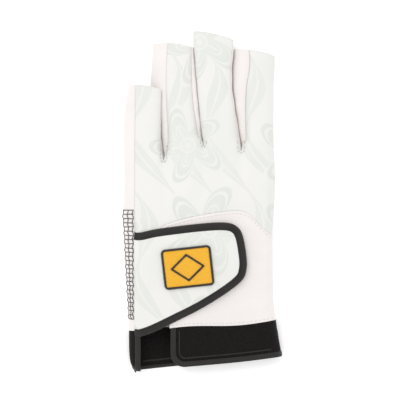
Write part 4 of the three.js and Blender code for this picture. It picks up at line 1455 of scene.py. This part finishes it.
def cuff_columns(start, short):
    """Columns from a start on the right part, round the palm, to the left fold."""
    right_end = across_x(1.0) - 2 * CUFF_SIDE_REACH
    left_end = 3 * CUFF_SIDE_REACH
    near = CUFF_SIDE_REACH * (1 - np.sin(steps(12) * math.pi / 2))
    columns = [("x", x, False, short) for x in steps(50, start, right_end)]
    columns += [("right", d, False, short) for d in near]
    columns += [("right", d, True, short) for d in near[::-1]]
    columns += [("x", x, True, short) for x in steps(60, right_end, left_end)]
    columns += [("left", d, True, short) for d in near]
    columns += [("fold", share, False, short) for share in eased(12)]
    return columns


def round_corner(angle, inset):
    """The plan of the cuff's round corner by the slit, set in by a distance."""
    radius = CUFF_CORNER - inset
    x = across_x(CUFF_SLIT_ACROSS) + CUFF_CORNER - radius * np.cos(angle)
    return x, cuff_y("bottom", x) + CUFF_CORNER - radius * np.sin(angle)


def cuff_length(columns):
    points = np.array([cuff_point(c, lambda x: cuff_y("bottom", x) + 8, np.zeros(1))[0] for c in columns])
    return running_length(points)


def cuff_band():
    shell = Shell()
    inset = CUFF_BINDING_WIDTH - 0.7
    corner = CUFF_CORNER - inset
    columns = cuff_columns(across_x(CUFF_SLIT_ACROSS) + inset, CREASE_GAP)
    lengths = cuff_length(columns)

    def place(row, index):
        points = np.zeros(row.shape + (3,))
        for i, column in enumerate(columns):
            share = row[:, i]
            column = list(column)
            if column[0] == "x" and not column[2]:
                away = column[1] - columns[0][1]
                high = share * (cuff_y("top", column[1]) - cuff_y("bottom", column[1]) - inset)
                pull = corner * (1 - turn(high, corner)) * clamp(1 - away / (2.5 * corner))
                column[1] = column[1] + pull
            points[:, i] = cuff_point(column, lambda x: mix(cuff_y("bottom", x) + inset,
                                      cuff_y("top", x) - CREASE_GAP / 2, share), share)
            sink = 0.3 - seam_roll(points[:, i, 1] - cuff_y("top", points[:, i, 0])) * 0.6
            points[:, i, 2] += sink * (1.0 if column[2] else -1.0) * (column[0] == "x")
        uv = np.stack([lengths[index.astype(int)], row * 22], -1)
        return points, uv

    shell.grid(eased(40), np.arange(len(columns)), place)
    piece = finished(shell.build("wrist_band", CUFF_WALL, [CUFF]), "cuff", "cuff_band")


def cuff_binding():
    """The cuff's binding follows the right part's edge, its round corner, the hem and the free edge."""
    shell = Shell()
    width = CUFF_BINDING_WIDTH
    slit, free = across_x(CUFF_SLIT_ACROSS), across_x(CUFF_FREE_EDGE)
    stations = []

    def upright(x, sign, start, share):
        def height_at(at):
            return mix(cuff_y("bottom", at) + start, cuff_y("top", at) - SEAM_GAP / 2, share)

        def at(across):
            return cuff_point(("x", x + sign * width * across, False, 0), height_at, across)
        stations.append(at)

    def rounded(angle):
        def at(across):
            x, y = round_corner(angle, width * across)
            return stack(x, y, hand_top(x, y))
        stations.append(at)

    def hem(column):
        def at(across):
            return cuff_point(column, lambda x: cuff_y("bottom", x) + width * across, across)
        stations.append(at)

    for share in steps(24, 1, 0)[:-1]:
        upright(slit, 1, CUFF_CORNER, share)
    for angle in steps(20, 0, math.pi / 2):
        rounded(angle)
    for column in cuff_columns(slit + CUFF_CORNER + CUFF_CORNER_RUN, 0)[:-1]:
        hem(column)

    def mitre(across):
        x = free - width * across
        y = cuff_y("bottom", x) + width * across
        return stack(x, y, hand_top(x, y))

    stations.append(mitre)
    for share in steps(24)[1:]:
        upright(free, -1, width, share)

    across = eased(10)
    points = np.array([station(across) for station in stations])
    swell = 0.45 * turn(np.minimum(across, 1 - across) * width, 1.3)
    length = running_length(points[:, 5])
    along, over = np.gradient(points, axis=0), np.gradient(points, axis=1)
    normals = np.cross(along, over)
    normals = unit(normals)
    points = points + normals * swell[None, :, None]

    def place(row, index):
        i = index.astype(int)
        j = np.broadcast_to(np.arange(len(across))[:, None], i.shape)
        return points[i, j], np.stack([length[i], row * width], -1)

    shell.grid(across, np.arange(len(stations)), place)
    piece = shell.build("wrist_tape", CUFF_BINDING_WALL, [BINDING], rim=0.4)
    return finished(piece, "binding", "cuff_binding")


def make_pieces():
    back_panel()
    palm_panel()
    for k in (1, 2, 3):
        fourchette(k, f"fourchette_{FINGERS[k - 1]}_{FINGERS[k]}")
    thumb()
    landing_panel()
    closure_tab()
    edge_binding()
    patch_field()
    patch_edges()
    closure_pad()
    cuff_band()
    cuff_binding()


def ladder_thread(x, y, least):
    """A thread laid on the outer side, no nearer to the outline than a least share."""
    wrap = clamp((x - left_x(y)) / (SEAM_X - left_x(y)), least, 1)
    step = 0.02
    across = wrap_point(clamp(wrap + step), y) - wrap_point(clamp(wrap - step), y)
    along = wrap_point(wrap, y + 0.2) - wrap_point(wrap, y - 0.2)
    up = unit(np.cross(across, along))
    up *= np.where(up[:, 2:] < 0, -1, 1)
    return wrap_point(wrap, y) + up * GATHER_THREAD * 0.6, up, np.ones(len(y))


def shirring():
    """The ladder of elastic thread on the outer side: three lines and a rung in every gather."""
    lines = []
    y = steps(GATHER_COUNT * 8, GATHER_TOP, GATHER_BOTTOM)
    phase = GATHER_COUNT * (GATHER_TOP - y) / (GATHER_TOP - GATHER_BOTTOM)
    for lane in range(GATHER_LANES + 1):
        x = mix(left_x(y) + LADDER_INSET, LADDER_RIGHT, lane / GATHER_LANES)
        lines.append(ladder_thread(x + 0.28 * np.sin(np.pi * phase + lane), y, 0.01))
    share = steps(14, -0.05, 1.06)
    for rung in range(GATHER_COUNT + 1):
        at = GATHER_TOP - rung * (GATHER_TOP - GATHER_BOTTOM) / GATHER_COUNT
        y = at + 0.25 * math.sin(rung * 1.9) * share
        lines.append(ladder_thread(mix(left_x(y) + LADDER_INSET, LADDER_RIGHT, share), y, 0.005))
    piece = sweep("shirring_thread", lines, GATHER_THREAD, [GREY_THREAD], sides=6)
    return finished(piece, "cuff")


def back_height(finger):
    return lambda x, y: surface_height("back", finger, x, y)


def seam_stitches():
    """Topstitching round the crotches and along the plain panel's two edges."""
    roots = []
    for k, (reach, width) in ROOT_STITCHES.items():
        x, y, _ = crotch(k)
        left = [(x - width, y + reach - t * reach) for t in steps(4)]
        bend = [(x - width * math.cos(a), y - width * math.sin(a)) for a in steps(8, 0, math.pi)]
        right = [(x + width, y + t * reach) for t in steps(4)]
        for finger, plan in ((k - 1, left), (k, right)):
            roots += stitches(plan, back_height(finger))
        roots += stitches(bend, top_height_at(k))
    finished(sweep("root_stitches", roots, 0.2, [ROOT_THREAD]), "leather")
    lines = []
    x = steps(60, across_x(0.2), across_x(0.97))
    lines += stitches(np.stack([x, landing_y(x) - STITCH_INSET], 1), top_surface)
    x = steps(60, across_x(0.31), across_x(0.99))
    lines += stitches(np.stack([x, cuff_y("top", x) + 1.5], 1), top_surface)
    finished(sweep("white_stitches", lines, 0.17, [WHITE_THREAD]), "leather")


def top_height_at(k):
    def height(x, y):
        left = surface_height("back", k - 1, x, y)
        right = surface_height("back", k, x, y)
        return np.where(x < crotch(k)[0], left, right)
    return height


def dark_stitches():
    """Black stitching along the tab's tape."""
    share = steps(300, 0.02, 0.985)
    x, y = tab_inset(share, BINDING_WIDTH * TAPE_STITCH)

    def tape_height(px, py):
        return tab_top(px, py) + BINDING_RISE - 0.36

    lines = stitches(np.stack([x, y], 1), tape_height, 2.2, 1.5, 0.08, 0.05)
    finished(sweep("black_stitches", lines, 0.16, [BLACK_THREAD]), "binding")


def hem_cord():
    """The raised line that runs just inside the cuff's binding."""
    inset = CUFF_BINDING_WIDTH + HEM_CORD_INSET
    slit = across_x(CUFF_SLIT_ACROSS)
    low = float(cuff_y("bottom", slit)) + CUFF_CORNER
    high = float(cuff_y("top", slit)) - 1.5
    angle = steps(16, 0, math.pi / 2)
    corner = np.stack(round_corner(angle, inset), 1)
    x = steps(60, slit + CUFF_CORNER + 1, across_x(1.0) - 0.6)[1:]
    hem = np.stack([x, cuff_y("bottom", x) + inset], 1)
    upright = np.stack([np.full(12, slit + inset), np.linspace(high, low, 12)], 1)[:-1]
    plan = resampled(np.concatenate([upright, corner, hem]), 0.5)
    up = height_normals(hand_top, plan[:, 0], plan[:, 1])
    outer_line = stack(plan[:, 0], plan[:, 1], hand_top(plan[:, 0], plan[:, 1])) - up * 0.42
    x = steps(40, across_x(CUFF_FREE_EDGE) + 1, slit + 8)
    y = cuff_y("bottom", x) + inset
    inner_line = stack(x, y, hand_under(x, y) + CUFF_WALL + 0.35)
    level = np.tile([0.0, 0.0, 1.0], (len(x), 1))
    lines = [(outer_line, up, np.ones(len(plan))), (inner_line, level, np.ones(len(x)))]
    finished(sweep("hem_cord", lines, 0.42, [BINDING], sides=8, flatness=0.7), "binding")


make_pieces()
shirring()
hem_cord()
seam_stitches()
dark_stitches()

# The floor, the lights and the camera
PHOTO_SPAN = 0.232
LENS = 135
FRAME_CENTRE = (-0.00145, 0.00102)
FOCUS_HEIGHT = 0.01
FLOOR_GLOW = 0.2
FLOOR_HALF = 3.0
WORLD_LIGHT = 0.9
LAMPS = {
    "key": {"place": (-0.6, 0.7, 1.2), "size": 1.0, "power": 5.0},
    "fill": {"place": (0.7, -0.4, 1.3), "size": 1.2, "power": 2.2},
}


def plain_material(name, colour, roughness, glow):
    nodes = Nodes(name, roughness=roughness, specular=0.1)
    nodes.fill(nodes.shader, {"Emission Color": (1.0, 1.0, 1.0, 1.0), "Emission Strength": glow})
    nodes.colour(nodes.blend(nodes.noise(0.004, 1.0), colour, tuple(c * 0.995 for c in colour[:3]) + (1.0,)))
    return nodes.material


def floor():
    mesh = bpy.data.meshes.new("floor")
    corners = [(-1, -1), (1, -1), (1, 1), (-1, 1)]
    mesh.from_pydata([(x * FLOOR_HALF, y * FLOOR_HALF, 0) for x, y in corners], [], [(0, 1, 2, 3)])
    mesh.materials.append(plain_material("floor_white", (0.97, 0.97, 0.97, 1.0), 0.9, FLOOR_GLOW))
    placed("floor", mesh)


def area_light(name, place, size, power):
    light = bpy.data.lights.new(name, "AREA")
    light.shape = "DISK"
    light.size = size
    light.energy = power
    lamp = placed(name, light)
    lamp.location = place
    lamp.rotation_euler = (-Vector(place)).to_track_quat("-Z", "Y").to_euler()


def studio():
    scene = bpy.context.scene
    world = bpy.data.worlds.new("studio")
    world.use_nodes = True
    background = world.node_tree.nodes["Background"]
    background.inputs["Color"].default_value = (1.0, 1.0, 1.0, 1.0)
    background.inputs["Strength"].default_value = WORLD_LIGHT
    scene.world = world
    scene.view_settings.view_transform = "Standard"
    for name, lamp in LAMPS.items():
        area_light(name, **lamp)


def camera():
    data = bpy.data.cameras.new("camera")
    data.lens = LENS
    data.sensor_width = 36
    data.clip_start, data.clip_end = 0.05, 20
    distance = PHOTO_SPAN / 2 / (data.sensor_width / 2 / LENS)
    eye = placed("camera", data)
    eye.location = (FRAME_CENTRE[0], FRAME_CENTRE[1], FOCUS_HEIGHT + distance)
    bpy.context.scene.camera = eye


floor()
studio()
camera()
